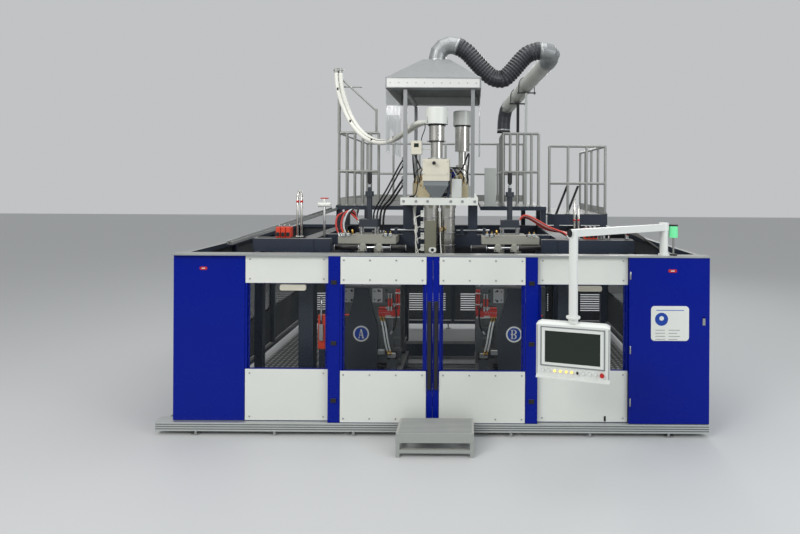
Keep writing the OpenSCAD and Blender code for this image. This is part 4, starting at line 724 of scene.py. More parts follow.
# The upright outer faces of the hood's rim take the lighter copy of galv: a painted highlight
paint("hood", "galv", ("galv_painted_lit", lambda c, n: abs(n.z) < 0.2 and c.z < 4.28 and (
    abs(c.x - HOOD_X) > 0.617 or c.y < HOOD_Y0 + 0.004 or c.y > HOOD_Y0 + 1.696)))
paint("hood_legs", "galv")
paint("fume_ducts", "galv", ("duct_pale", lambda c, n: c.y > 0.1365), ("duct_dark", lambda c, n: c.y > 2.43))
paint("flexible_duct", "duct_dark")
paint("platform", "slate", ("deck", lambda c, n: n.z > 0.9 and (2.53 < c.z < 2.545 or 2.405 < c.z < 2.415)),
      ("grey", within(0.6415, 0.8205, 0.2995, 0.4205, 2.5405, 3.14)),
      ("grey", within(1.3595, 1.4005, 1.3095, 1.3505, 2.5405)), ("black", within(y0=1.89, z0=2.5405)))
paint("handrails", "rail", ("black", within(1.75, 2.2, 0.60, 0.66, 2.4, 2.87)))
# The operator panel, its post and its arm take the painted-lit copy of white
paint("hmi_post", "hmi_painted_lit_white", ("steel", within(z0=2.363)))
paint("hmi_arm", "hmi_painted_lit_white", ("black", lambda c, n: c.x < 1.44 and c.z > 2.3))
paint("hmi_panel", "hmi_painted_lit_white")
paint("emergency_stop", "red")
paint("selector_switch", "black")
for k in range(4):
    paint(f"push_button_{k + 1}", "lit")
paint("signal_lamp", "black", ("steel", within(z0=2.0935, z1=2.2825)),
      ("green_lens", within(z0=2.2825, z1=2.4145)))
paint("front_step", "step_grey")
paint("flash_belt", "belt", ("steel", lambda c, n: c.x < -3.04 and 0.064 < c.z < 0.136))
paint("belt_roller", "zinc")


def name_plate(piece, p, half, bar, y):
    """Blank red pill with a white bar around p, on a face at y."""
    piece.plate(rounded((p.x - half, p.x + half), (p.z - 0.019, p.z + 0.019), 0.018), y - 0.003, y, "red")
    piece.box((p.x - bar, p.x + bar), (y - 0.0038, y - 0.0028), (p.z - 0.005, p.z + 0.005), "white", 0.0004)


# Front of the guard: guide blocks, catches, name plates, lock
POSTS_X = (-1.1985, 1.0635)  # left edges of the posts beside the doors
front = Piece("front_trim")
for x in POSTS_X:
    for z in (1.9, 1.1, 0.3):
        front.box((x + 0.03, x + 0.105), (PY - 0.009, PY), (z - 0.035, z + 0.035), "black", 0.003)
for a, b in CATCHES_PX:
    p, q = at(*a, PY + 0.045), at(*b, PY + 0.045)
    front.plate(rounded((p.x, q.x), (q.z, p.z), 0.02), PY + 0.02, PY + 0.05, "cream")
name_plate(front, at(*LEFT_PLATE_PX, PY), 0.045, 0.02, PY)
p = at(*LOCK_PX, PY)
front.box((p.x - 0.012, p.x + 0.012), (PY - 0.004, PY), (p.z - 0.03, p.z + 0.03), "slot_dark", 0.003)
front.done()

# Cabinet door: notice board, name plate and hinges
hinge_x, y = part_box("cabinet_door")[0][:2]
board = Piece("notice_board", "cabinet_door")
p, q = [at(*px, FY) for px in BOARD_PX]
board.plate(rounded((p.x, q.x), (q.z, p.z), 0.04), y - 0.006, y, "white")
board.disc((p.x + 0.12, p.z - 0.15), 0.075, y - 0.0075, y - 0.0058, "badge")
board.disc((p.x + 0.12, p.z - 0.14), 0.026, y - 0.0085, y - 0.0073, "white")
LINE_Y = (y - 0.0072, y - 0.0058)
for k in range(4):
    z = p.z - 0.275 - k * 0.035
    for a, b in ((0.05, 0.16), (0.2, 0.33 - 0.03 * (k % 2))):
        board.box((p.x + a, p.x + b), LINE_Y, (z - 0.003, z + 0.003), "midgrey", 0.0004)
board.box((p.x + 0.06, q.x - 0.06), LINE_Y, (p.z - 0.052, p.z - 0.044), "hose_blue", 0.0004)
name_plate(board, at(*RIGHT_PLATE_PX, FY), 0.05, 0.022, y)
for z in (0.4, 1.0, 1.85):
    board.rod((hinge_x + 0.012, y - 0.006, z - 0.045), (hinge_x + 0.012, y - 0.006, z + 0.045), 0.018, "zinc")
board.done()

# White sheets of the doors and of the fixed panels, window gaskets and screws
SHEETS_Z = ((LOW + 0.003, SILL - 0.003), (HEAD + 0.003, TOP - 0.003))
SHEET_SCREWS_Z = (0.2, 0.7, 1.785, 2.01)
SHEET_T = 0.0015
for s, _, out in STATIONS:
    gasket = Piece(f"door_{s}_gasket", f"door_{s}")
    (x0, y, z0), (x1, _, z1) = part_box(f"door_{s}_window")
    gasket.border((x0, x1), (y - 0.004, y), (z0, z1), 0.012, "black", 0.001)
    gasket.done()
    skin = Piece(f"door_{s}_sheets", f"door_{s}")
    for z in SHEETS_Z:
        skin.box(tuple(sorted((out * 0.0755, out * 1.0565))), (FY - SHEET_T, FY - 0.0001), z, "white", 0.0005)
    skin.done()
    pts = [(out * x, FY - SHEET_T, z) for x in (0.12, 0.42, 0.72, 1.02) for z in SHEET_SCREWS_Z]
    screws(f"door_{s}_screws", pts, "-y", 0.014, "zinc", f"door_{s}", 0.005, 5)

pts = [(0.9 * k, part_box("front_sill")[0][1], 0.035) for k in range(-3, 4)]
screws("sill_screws", pts, "-y", 0.022, "zinc", "machine", 0.008, 11)
skin = Piece("fixed_sheets")
for x in ((-2.1615, -1.2055), (1.2055, 2.2415)):
    for z in SHEETS_Z:
        skin.box(x, (PY - SHEET_T, PY - 0.0001), z, "white", 0.0005)
skin.done()
pts = [(x, PY - SHEET_T, z) for x in (-2.11, -1.26, 1.26, 2.19) for z in SHEET_SCREWS_Z]
screws("panel_screws", pts, "-y", 0.013, "zinc", "machine", 0.005, 12)

# Screws of the side and rear walls
FLAT = 0.0012  # height of those at the right and the rear, where the wall is the machine's end
pts = [(LEFT, FRAME_Y + BAY * k + d, z) for k in range(3) for d in (0.07, BAY - 0.07)
       for z in (0.25, 0.7, 1.8, 2.0)]
screws("left_wall_screws", pts, "-x", 0.014, "zinc", "machine", 0.005, 21)
pts = [(RIGHT - FLAT, q[1], q[2]) for q in pts]
screws("right_wall_screws", pts, "+x", 0.014, "zinc", "machine", FLAT, 22)
step = (RIGHT - LEFT) / 6
pts = [(LEFT + step * k + d, REAR - FLAT, z) for k in range(6) for d in (0.07, step - 0.07)
       for z in (0.25, 1.1, 2.0)]
screws("rear_wall_screws", pts, "+y", 0.014, "zinc", "machine", FLAT, 23)


def letter(piece, cx, cz, size, y0, y1, m, kind):
    """Serif letter A or B drawn with flat plates."""
    h, w, t = size, size * 0.72, size * 0.13
    x0, z0 = cx - w / 2, cz - h / 2

    def stroke(outline):
        piece.plate(outline, y0, y1, m, 0)

    def bar(a, b, low, high):
        stroke([(a, low), (b, low), (b, high), (a, high)])

    if kind == "A":
        for a, b, side in ((0.12, 0.2, 0.02), (0.68, 0.9, 0.08)):
            stroke([(x0 + w * a, z0), (x0 + w * b, z0), (cx + side * w, cz + h / 2),
                    (cx - 0.07 * w, cz + h / 2)])
        stroke([(x0 + w * 0.24, z0 + h * 0.3), (x0 + w * 0.76, z0 + h * 0.3), (x0 + w * 0.74, z0 + h * 0.36),
                (x0 + w * 0.26, z0 + h * 0.36)])
        for a, b in ((0.0, 0.32), (0.58, 1.0)):
            bar(x0 + w * a, x0 + w * b, z0, z0 + h * 0.05)
        return
    bar(x0 + w * 0.12, x0 + w * 0.12 + t, z0, z0 + h)
    r = h * 0.25
    for z in (z0 + h * 0.75, z0 + h * 0.25):
        turns = [math.radians(-90 + 18 * k) for k in range(11)]
        outer = [(x0 + w * 0.5 + r * 1.15 * math.cos(a), z + r * math.sin(a)) for a in turns]
        inner = [(x0 + w * 0.48 + (r * 1.15 - t) * math.cos(a), z + (r - t * 0.35) * math.sin(a))
                 for a in turns]
        for k in range(10):
            stroke([outer[k], outer[k + 1], inner[k + 1], inner[k]])
        for low in (z + r - t * 0.35, z - r):
            bar(x0, x0 + w * 0.52, low, low + t * 0.35)


# Badges, screws and hoses of the stations, which travel with the front platens
BADGE_STEPS, BADGE_Z, RING_IN, RING_OUT = 40, 1.0, 0.082, 0.1
for s, cx, out in STATIONS:
    body = f"press_front_{s}"
    bx = cx + out * 0.04
    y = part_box(f"front_platen_{s}")[0][1]
    badge = Piece(f"badge_{s}", body)
    for k in range(BADGE_STEPS):
        a0, a1 = (2 * math.pi * j / BADGE_STEPS for j in (k, k + 1))
        badge.plate([(bx + rad * math.cos(a), BADGE_Z + rad * math.sin(a)) for rad, a in
                     ((RING_IN, a0), (RING_OUT, a0), (RING_OUT, a1), (RING_IN, a1))],
                    y - 0.0015, y, "white", 0)
    letter(badge, bx, BADGE_Z, 0.115, y - 0.0015, y, "white", s.upper())
    badge.done()
    yf = FACE - 0.045
    h = Piece(f"platen_hoses_{s}", body)
    ins = -out
    x0 = cx + ins * 0.30
    for x, x_mid, bow in ((x0, x0 + 0.004, 0.01), (x0 + ins * 0.035, x0 + ins * 0.04, 0.012)):
        h.hose([(x, yf, 1.5), (x_mid, yf - bow, 1.4), (x, yf, 1.29)], 0.024, "hose_red", "zinc")
    for k in range(2):
        h.hose([(cx + ins * (0.2 + 0.035 * k), yf, 1.21), (cx + ins * (0.235 + 0.035 * k), yf - 0.02, 1.08),
                (cx + ins * (0.265 + 0.035 * k), yf - 0.025, 0.9), (cx + ins * (0.3 + 0.035 * k), yf, 0.74)],
               0.022, "hose_pale", "brass")
    h.hose([(cx + ins * 0.36, yf, 1.38), (cx + ins * 0.4, yf - 0.02, 1.28),
            (cx + ins * 0.385, yf - 0.025, 1.1), (cx + ins * 0.33, yf, 1.0)], 0.02, "black", "zinc")
    for k in range(5):
        xx = cx + ins * (0.185 + 0.032 * k)
        h.rod((xx, FACE - 0.052, 1.269), (xx, FACE - 0.03, 1.269), 0.018, "brass", 10)
        h.rod((xx, FACE - 0.062, 1.269), (xx, FACE - 0.05, 1.269), 0.012, "zinc", 8)
    for xx, z in ((cx + ins * 0.2, 0.76), (cx + ins * 0.34, 0.72)):
        h.box((xx - 0.05, xx + 0.05), (FACE - 0.03, FACE), (z - 0.03, z + 0.03), "alu", 0.004)
    h.done()
    pts = [(cx + dx, FACE, z) for dx in (-0.39, -0.3, 0.3, 0.39) for z in (0.68, 0.74)]
    screws(f"platen_screws_{s}", pts, "-y", 0.03, "black", body, 0.014, 31)
    pts = [(cx + dx, FACE - 0.016, z) for dx in (-0.27, -0.17, 0.17, 0.27) for z in (1.41, 1.535)]
    screws(f"plate_screws_{s}", [q for q in pts if abs(q[0] - bx) > 0.12], "-y", 0.02, "black",
           body, 0.01, 32)


# Operator panel: bezel lips, screen, keys and cable
PANEL = Matrix.Translation((1.471, FY - 0.72, 0)) @ Matrix.Rotation(math.radians(-16), 4, "Z")
face = -0.06  # of the panel, in its own frame
hmi = Piece("hmi_trim", "hmi_panel")
hmi.turn = PANEL
hmi.border((-0.322, 0.319), (face - 0.009, face - 0.004), (1.051, 1.452), 0.012, "midgrey", 0.002)
hmi.box((-0.277, 0.272), (face + 0.002, face + 0.0038), (1.087, 1.406), "screen", 0.0005)
for x in (-0.36, 0.352):
    hmi.box((x, x + 0.008), (face - 0.003, face), (0.965, 1.46), "zinc", 0.001)
# Near-black plates standing for the slots on the back of the panel: painted shade
for k in range(8):
    hmi.box((-0.2 + 0.05 * k, -0.18 + 0.05 * k), (0.06, 0.063), (1.2, 1.4), "slot_dark", 0.001)
hmi.done()
hmi = Piece("hmi_keys", "hmi_panel")
hmi.turn = PANEL
for x in (-0.295, -0.237, 0.109, 0.171, 0.228):
    hmi.rod((x, face - 0.004, 1.007), (x, face - 0.0002, 1.007), 0.034, "midgrey", 20)
for k in range(7):
    x = -0.21 + 0.058 * k
    hmi.box((x - 0.014, x + 0.014), (face - 0.0012, face), (1.038, 1.046), "white", 0.0004)
hmi.done()
cable = Piece("hmi_cable", "hmi_panel")
cable.turn = PANEL
cable.bent([(0.0, 0.062, 1.3), (0.0, 0.11, 1.36), (0.02, 0.09, 1.48), (0.03, 0.04, 1.56), (0.03, 0.03, 1.6)],
           8, 0.016, "black", 10)
cable.rod((0, 0.058, 1.29), (0, 0.075, 1.31), 0.028, "black")
cable.done()


# Die head: bands, terminals, leads and the adjusting gear
TERMINALS_Z = (2.054, 2.205, 2.351, 2.496)
BAND_R = 0.0965
die = Piece("die_head_trim")
for x in (HX - 0.11, HX + 0.11):
    for z in (1.8, 1.94, 2.09, 2.25, 2.45):
        path = [(x + BAND_R * math.cos(t), MY + BAND_R * math.sin(t), z) for t in
                [math.radians(-150 + 10 * k) for k in range(31)]]
        die.tube(path, 0.008, "zinc", 6)
        die.box((x + 0.02, x + 0.06), (MY - 0.112, MY - 0.092), (z - 0.012, z + 0.012), "zinc", 0.003)
die.rod((HX + 0.03, MY - 0.1, 2.3), (HX + 0.03, MY - 0.185, 2.3), 0.05, "brass")
die.rod((HX + 0.03, MY - 0.185, 2.3), (HX + 0.03, MY - 0.215, 2.3), 0.03, "zinc", 6)
for z in TERMINALS_Z:
    for dx in (-0.03, -0.012):
        die.rod((HX - 0.21 + dx, MY - 0.056, z + 0.02), (HX - 0.21 + dx, MY - 0.05, z + 0.02),
                0.014, "zinc", 10)
c = (HX - 0.08, MY - 0.183, 2.04)
die.disc((c[0], c[2]), 0.02, c[1] - 0.002, c[1], "slot_dark")
for dx in (-0.009, 0.009):
    die.rod((c[0] + dx, c[1] - 0.006, c[2]), (c[0] + dx, c[1], c[2]), 0.005, "brass", 8)
die.done()
leads = Piece("die_head_leads")
for k, z in enumerate(TERMINALS_Z):
    x = HX - 0.248
    leads.bent([(x, MY - 0.03, z - 0.02), (x - 0.05 - 0.01 * k, MY - 0.05, z - 0.07),
                (x - 0.04, MY - 0.06, z - 0.17), (x - 0.015 * k, MY - 0.04, z - 0.24),
                (x - 0.06, MY + 0.02, z - 0.1), (x - 0.075 - 0.01 * k, MY + 0.1, 2.55),
                (x - 0.05, MY + 0.16, 2.61)], 8, 0.012, "hose_white", 8)
leads.bent([(HX - 0.08, MY - 0.1815, 2.01), (HX - 0.075, MY - 0.21, 1.93), (HX - 0.01, MY - 0.2, 1.87),
            (HX + 0.03, MY - 0.15, 1.95), (HX + 0.02, MY - 0.12, 2.15), (HX + 0.01, MY - 0.11, 2.55)], 8,
           0.013, "hose_white", 8)
leads.done()

# Extruder bed and barrel: terminal boxes and conduit
bed = Piece("bed_trim")
for k in range(3):
    x = -0.3 - 0.035 * k
    bed.tube([(x, MY - 0.02, 2.717), (x, MY + 0.9, 2.717), (x, MY + 2.0, 2.717)], 0.02,
             "black" if k else "hose_pale", 8)
bed.box((HX - 0.42, HX - 0.36), (MY + 1.0, MY + 1.14), (2.706, 2.83), "grey", 0.005)
bed.box((HX + 0.34, HX + 0.42), (MY + 0.7, MY + 0.84), (2.706, 2.86), "grey", 0.005)
bed.box((HX + 0.16, HX + 0.29), (MY - 0.118, MY - 0.02), (2.7062, 2.95), "grey", 0.004)
bed.box((HX + 0.1, HX + 0.135), (MY - 0.116, MY - 0.08), (2.7062, 2.93), "slate", 0.003)
bed.done()
pts = [(HX + dx, MY - 0.12, 2.66) for dx in (-0.46, -0.3, -0.15, 0.15, 0.3, 0.46)]
screws("bed_screws", pts, "-y", 0.024, "zinc", "machine", 0.01, 41)

# Hopper and loaders: clamp bolts, lids, boxes and wires
OX, OY = -0.02, MY - 0.04  # middle of the hopper and the front loader
REAR_LOADER = (0.3, MY + 0.9)
load = Piece("loader_trim")
for (x, y), rr, zs in (((OX, OY), 0.11, (3.438, 3.651)), (REAR_LOADER, 0.118, (3.731,))):
    for z in zs:
        for a in (-60, 60, 180):
            c, t = math.cos(math.radians(a - 90)), math.sin(math.radians(a - 90))
            load.rod((x + (rr - 0.005) * c, y + (rr - 0.005) * t, z),
                     (x + (rr + 0.03) * c, y + (rr + 0.03) * t, z), 0.016, "zinc", 8)
for a in (-50, 70, 190):
    c, t = math.cos(math.radians(a - 90)), math.sin(math.radians(a - 90))
    q = (OX + 0.149 * c, OY + 0.149 * t)
    load.rod((q[0], q[1], 3.67), (q[0], q[1], 3.75), 0.014, "zinc", 8)
load.turned((OX, OY, 3.86), (OX, OY, 3.885), [(0, 0.14), (0.5, 0.135), (0.8, 0.1), (1, 0.03)], "white", 28)
load.turned((*REAR_LOADER, 3.935), (*REAR_LOADER, 3.96), [(0, 0.13), (0.5, 0.125), (0.8, 0.09), (1, 0.03)],
            "white", 28)
load.box((OX - 0.325, OX - 0.195), (OY - 0.064, OY - 0.06), (3.27, 3.44), "cream", 0.003)
load.box((OX - 0.29, OX - 0.23), (OY - 0.067, OY - 0.063), (3.36, 3.41), "screen", 0.002)
load.box((OX - 0.165, OX + 0.165), (OY - 0.174, OY - 0.17), (3.0, 3.19), "cream", 0.003)
for x in (-0.15, 0.15):
    for z in (3.015, 3.175):
        load.rod((OX + x, OY - 0.178, z), (OX + x, OY - 0.173, z), 0.012, "zinc", 8)
load.turned((OX - 0.02, OY - 0.2, 3.15), (OX - 0.02, OY - 0.235, 3.15),
            [(0, 0.01), (0.4, 0.014), (0.6, 0.024), (1, 0.02)], "black", 16)
load.rod((OX, OY, 3.205), (OX, OY, 3.222), 0.23, "zinc", 28)
load.done()
wires = Piece("loader_wires")
wires.bent([(OX - 0.26, OY - 0.01, 3.268), (OX - 0.26, OY - 0.02, 3.18), (OX - 0.24, OY - 0.02, 3.0),
            (OX - 0.26, OY + 0.02, 2.8), (OX - 0.3, OY + 0.08, 2.72)], 8, 0.014, "black", 8)
wires.bent([(OX - 0.2, OY - 0.01, 3.446), (OX - 0.19, OY - 0.02, 3.5), (OX - 0.15, OY - 0.06, 3.6),
            (OX - 0.152, OY - 0.05, 3.67)], 8, 0.012, "black", 8)
wires.done()


def collar(piece, c, axis, r, w, m):
    """Ring of width w around a duct, with its middle at c."""
    c, axis = Vector(c), Vector(axis).normalized()
    piece.turned(c - axis * w / 2, c + axis * w / 2, [(0, r), (0.15, r + 0.003), (0.85, r + 0.003), (1, r)],
                 m, 36)


ducts = Piece("duct_collars")
DUCT_R, COLLAR_R = 0.126, 0.1262
ELBOW_R, ELBOW_Z = 0.2, 4.7
ELBOW_TURN = math.radians(110)
# Middle of the return duct, from the flexible duct to the rear
RETURN = ((1.588, HOOD_MID + 0.35, 4.74), (1.51, 0.635, 4.69), (1.387, 1.335, 4.6), (1.29, 1.935, 4.5),
          (1.152, 2.43, 4.38))


def elbow(turn):
    """Middle and direction of the hood's elbow after this turn."""
    return (Vector((HOOD_X + ELBOW_R * (1 - math.cos(turn)), HOOD_MID, ELBOW_Z + ELBOW_R * math.sin(turn))),
            Vector((math.sin(turn), 0, math.cos(turn))))


tip, way = elbow(ELBOW_TURN)
collar(ducts, (HOOD_X, HOOD_MID, 4.668), (0, 0, 1), DUCT_R, 0.03, "zinc")
collar(ducts, tip + 0.02 * way, way, COLLAR_R, 0.03, "zinc")
collar(ducts, (1.45, HOOD_MID, 4.82), (1, 0, 0), COLLAR_R, 0.03, "zinc")
for end, on, lead, w in ((0, 1, 0.02, 0.05), (4, 3, 0.03, 0.04)):
    a, b = Vector(RETURN[end]), Vector(RETURN[on])
    collar(ducts, a + (b - a).normalized() * lead, b - a, COLLAR_R, w, "zinc")
collar(ducts, (1.07, 2.6, 3.93), (0, 0, 1), COLLAR_R, 0.03, "zinc")
for end, on, share in ((3, 2, 0.5), (2, 1, 0.45)):
    a, b = Vector(RETURN[end]), Vector(RETURN[on])
    collar(ducts, a + (b - a) * share, b - a, DUCT_R, 0.02, "duct_pale")
ducts.done()

rim = Piece("hood_trim")
HOOD_X0, HOOD_X1 = HOOD_X - 0.621, HOOD_X + 0.621
HOOD_Y1 = HOOD_Y0 + 1.7
for z in (4.136, 4.262):
    hem = (z - 0.003, z + 0.009)
    for y in ((HOOD_Y0 - 0.004, HOOD_Y0), (HOOD_Y1, HOOD_Y1 + 0.004)):
        rim.box((HOOD_X0 - 0.004, HOOD_X1 + 0.004), y, hem, "galv", 0.001)
    for x in ((HOOD_X0 - 0.004, HOOD_X0), (HOOD_X1, HOOD_X1 + 0.004)):
        rim.box(x, (HOOD_Y0, HOOD_Y1), hem, "galv", 0.001)
for x in (HOOD_X0 - 0.003, HOOD_X1 - 0.017):
    for y in (HOOD_Y0 - 0.003, HOOD_Y1 - 0.017):
        rim.box((x, x + 0.02), (y, y + 0.02), (4.14, 4.266), "galv", 0.002)
for sx in (-1, 1):
    for sy in (-1, 1):
        a = Vector((HOOD_X + sx * 0.621, HOOD_MID + sy * 0.85, 4.27))
        b = Vector((HOOD_X + sx * 0.125, HOOD_MID + sy * 0.125, 4.65))
        rim.rod(a, b, 0.012, "galv", 8)
rim.done()
across = [HOOD_X0 + 0.06 + 0.112 * k for k in range(11)]
along = [HOOD_Y0 + 0.06 + 0.1125 * k for k in range(15)]
for side, pts, facing, seed in (("front", [(x, HOOD_Y0, 4.2) for x in across], "-y", 51),
                                ("right", [(HOOD_X1, y, 4.2) for y in along], "+x", 52),
                                ("left", [(HOOD_X0, y, 4.2) for y in along], "-x", 53),
                                ("rear", [(x, HOOD_Y1, 4.2) for x in across], "+y", 54)):
    screws(f"hood_rivets_{side}", pts, facing, 0.011, "zinc", "machine", 0.004, seed)

# Over the guard: outriggers, cable tray, valves and service hoses
top = Piece("top_beams")
for x in ((-2.3, -1.642), (1.642, 2.47)):
    top.box(x, (MY - 0.34, MY - 0.2), (2.06, BEAM_Z), "slate", 0.004)
# Sloped cable tray, drawn along its own x
foot, head = Vector((-2.67, MY - 0.15, 2.09)), Vector((-1.66, 0.27, 2.47))
top.turn = Matrix.Translation(foot) @ (head - foot).to_track_quat("X", "Z").to_matrix().to_4x4()
n = (head - foot).length
top.box((0, n), (-0.06, 0.06), (0, 0.005), "slate", 0.001)
for y in ((-0.06, -0.055), (0.055, 0.06)):
    top.box((0, n), y, (0, 0.045), "alu", 0.001)
for k in range(4):
    top.tube([(0.02, -0.035 + 0.024 * k, 0.018), (n * 0.5, -0.03 + 0.022 * k, 0.018),
              (n - 0.02, -0.035 + 0.024 * k, 0.018)], 0.018, "black" if k % 2 else "midgrey", 8)
top.done()
VALVE_Y = MY - 0.27  # middle of the valves
air = Piece("air_valves")
for x0, x1 in ((-2.02, -1.83), (1.86, 2.02)):
    for k in range(3):
        x = x0 + (x1 - x0) * (k + 0.5) / 3
        air.box((x - 0.028, x + 0.028), (MY - 0.33, MY - 0.21), (BEAM_Z, 2.335), "orange", 0.005)
        air.rod((x, VALVE_Y, 2.335), (x, VALVE_Y, 2.36), 0.03, "zinc", 12)
        air.box((x - 0.02, x + 0.02), (MY - 0.345, MY - 0.33), (2.22, 2.27), "black", 0.003)
for x in (-1.76, -1.71):
    air.rod((x, VALVE_Y, BEAM_Z), (x, VALVE_Y, 2.72), 0.03, "stainless", 16)
    air.rod((x, VALVE_Y, 2.64), (x, VALVE_Y, 2.67), 0.036, "red", 16)
    air.rod((x, VALVE_Y, BEAM_Z), (x, VALVE_Y, 2.22), 0.06, "zinc", 16)
air.bent([(-1.76, VALVE_Y, 2.72), (-1.75, MY - 0.26, 2.77), (-1.735, MY - 0.26, 2.785),
          (-1.72, MY - 0.26, 2.77), (-1.71, VALVE_Y, 2.72)], 6, 0.028, "stainless", 12)
air.rod((-1.42, VALVE_Y, BEAM_Z), (-1.42, VALVE_Y, 2.6), 0.03, "zinc", 16)
air.rod((-1.5, VALVE_Y, 2.615), (-1.34, VALVE_Y, 2.615), 0.06, "white", 20)
air.rod((-1.42, VALVE_Y, 2.62), (-1.42, VALVE_Y, 2.69), 0.035, "white", 16)
air.box((-1.47, -1.37), (MY - 0.285, MY - 0.255), (2.69, 2.705), "red", 0.004)
air.done()
lines = Piece("service_hoses")
for k in range(5):
    m = ("hose_red", "black", "hose_red", "hose_pale", "black")[k]
    x, y = -1.25 + 0.03 * k, MY - 0.155 + 0.01 * k
    lines.hose([(x, y, BEAM_Z), (x - 0.05, y, 2.34), (x - 0.03 + 0.01 * k, y + 0.02, 2.47 + 0.015 * k),
                (x + 0.09, y + 0.06, 2.51 + 0.01 * k), (-1.07, MY - 0.06 + 0.02 * k, 2.44),
                (-1.012, MY - 0.06 + 0.02 * k, 2.36)], 0.024, m, "zinc")
    y = MY - 0.06 + 0.025 * k
    lines.hose([(1.052, y, 2.37), (1.1, y, 2.47 - 0.008 * k), (1.2, y - 0.03, 2.47 - 0.01 * k),
                (1.44, y - 0.12, 2.34 - 0.012 * k), (1.62 + 0.02 * k, MY - 0.24 + 0.012 * k, 2.27),
                (1.67 + 0.035 * k, MY - 0.27 + 0.012 * k, PORT_Z)], 0.022,
               ("hose_red", "hose_pale", "hose_red", "black", "hose_red")[k], "zinc")
LEG_Y = HOOD_Y0 + 0.06
for k, z in enumerate((3.18, 3.1, 2.93, 2.85)):
    x, y = -0.87 + 0.045 * k, MY + 0.13
    lines.bent([(-0.466, LEG_Y, z + 0.05), (-0.472, LEG_Y, z), (-0.5, LEG_Y, z - 0.04),
                ((x - 0.5) / 2, (y + LEG_Y) / 2, (z + 2.54) / 2 - 0.05), (x + 0.03, y, 2.56), (x, y, 2.42),
                (x, y, 2.215)], 8, 0.022 if k < 2 else 0.028, "black", 9)
    lines.rod((x, y, 2.224), (x, y, 2.262), 0.038, "zinc", 8)
    lines.box((-0.48, -0.459), (LEG_Y - 0.02, LEG_Y + 0.02), (z + 0.02, z + 0.036), "zinc", 0.002)
lines.done()

# Mast cable, kick plates of the decks, rings of the signal lamp
mast = Piece("mast_cable")
mast.tube([Vector(q) + Vector((0.0, 0.052, 0.034)) for q in spline(HOSE_L[2:-3], 6)], 0.014, "black", 8)
for k in range(3, 15, 3):
    mast.box((HOSE_L[k][0] - 0.012, HOSE_L[k][0] + 0.012), (HOSE_L[k][1] - 0.036, HOSE_L[k][1] + 0.056),
             (HOSE_L[k][2], HOSE_L[k][2] + 0.04), "black", 0.003)
mast.done()
KICK_Z = (DECK_Z + 0.001, 2.66)
kick = Piece("kick_plates")
kick.box((-1.62, -0.99), (0.2745, 0.2785), KICK_Z, "rail", 0.001)
kick.box((-1.602, -1.598), (0.29, 2.65), KICK_Z, "rail", 0.001)
kick.box((-1.6, 1.47), (2.658, 2.662), KICK_Z, "rail", 0.001)
kick.box((2.568, 2.572), (0.58, 2.6), (SIDE_DECK_Z + 0.001, 2.52), "rail", 0.001)
kick.done()
lamp = Piece("lamp_rings")
for z in (2.29, 2.34, 2.39):
    lamp.turned((2.776, FY + 0.085, z), (2.776, FY + 0.085, z + 0.006),
                [(0, 0.048), (0.5, 0.0495), (1, 0.048)], "green_lens", 28)
lamp.done()


def drape(name, x, y0, y1, z0, z1, notch, seed, *nodes):
    """Clear sheet in the plane x, hung from z1, with folds that grow towards its foot.
    notch is what is cut out of its foot, as (first y, last y, top)."""
    part = bmesh.new()
    ny, nz = round((y1 - y0) / 0.02), 30
    grid = {}
    for j in range(ny + 1):
        for i in range(nz + 1):
            y, t = y0 + (y1 - y0) * j / ny, i / nz
            # A wide fold and a narrow one
            w = 0.006 * (1 - t) * math.sin(y * 17 + seed) + 0.003 * (1 - t) * math.sin(y * 41 + 3 * t + seed)
            grid[j, i] = part.verts.new((x + w, y, z0 + (z1 - z0) * t))
    for j in range(ny):
        for i in range(nz):
            y, z = y0 + (y1 - y0) * (j + 0.5) / ny, z0 + (z1 - z0) * (i + 0.5) / nz
            if notch and notch[0] < y < notch[1] and z < notch[2]:
                continue
            part.faces.new((grid[j, i], grid[j + 1, i], grid[j + 1, i + 1], grid[j, i + 1]))
    bmesh.ops.delete(part, geom=[v for v in part.verts if not v.link_faces], context="VERTS")
    bmesh.ops.recalc_face_normals(part, faces=part.faces)
    bmesh.ops.solidify(part, geom=part.faces[:], thickness=0.002)
    piece = Piece(name)
    piece.take(part, "pvc", True)
    o = piece.done(*nodes)


# Clear curtains of the hood and the strips that clamp them
LEFT_Y, RIGHT_Y = (HOOD_Y0 + 0.03, HOOD_Y0 + 1.67), (HOOD_Y0 + 0.7, HOOD_Y0 + 1.67)
CURTAIN_Z, CLAMP_Z = (3.3, 4.193), (4.15, 4.19)
drape("curtain_left", HOOD_X0 - 0.003, *LEFT_Y, *CURTAIN_Z, (HOOD_Y0 + 0.41, HOOD_Y0 + 0.76, 3.64),
      1, "curtain")
drape("curtain_right", HOOD_X1 + 0.003, *RIGHT_Y, *CURTAIN_Z, None, 2)
strips = Piece("curtain_clamps")
strips.box((HOOD_X0 - 0.012, HOOD_X0 - 0.005), LEFT_Y, CLAMP_Z, "zinc", 0.001)
strips.box((HOOD_X1 + 0.005, HOOD_X1 + 0.012), RIGHT_Y, CLAMP_Z, "zinc", 0.001)
strips.done()


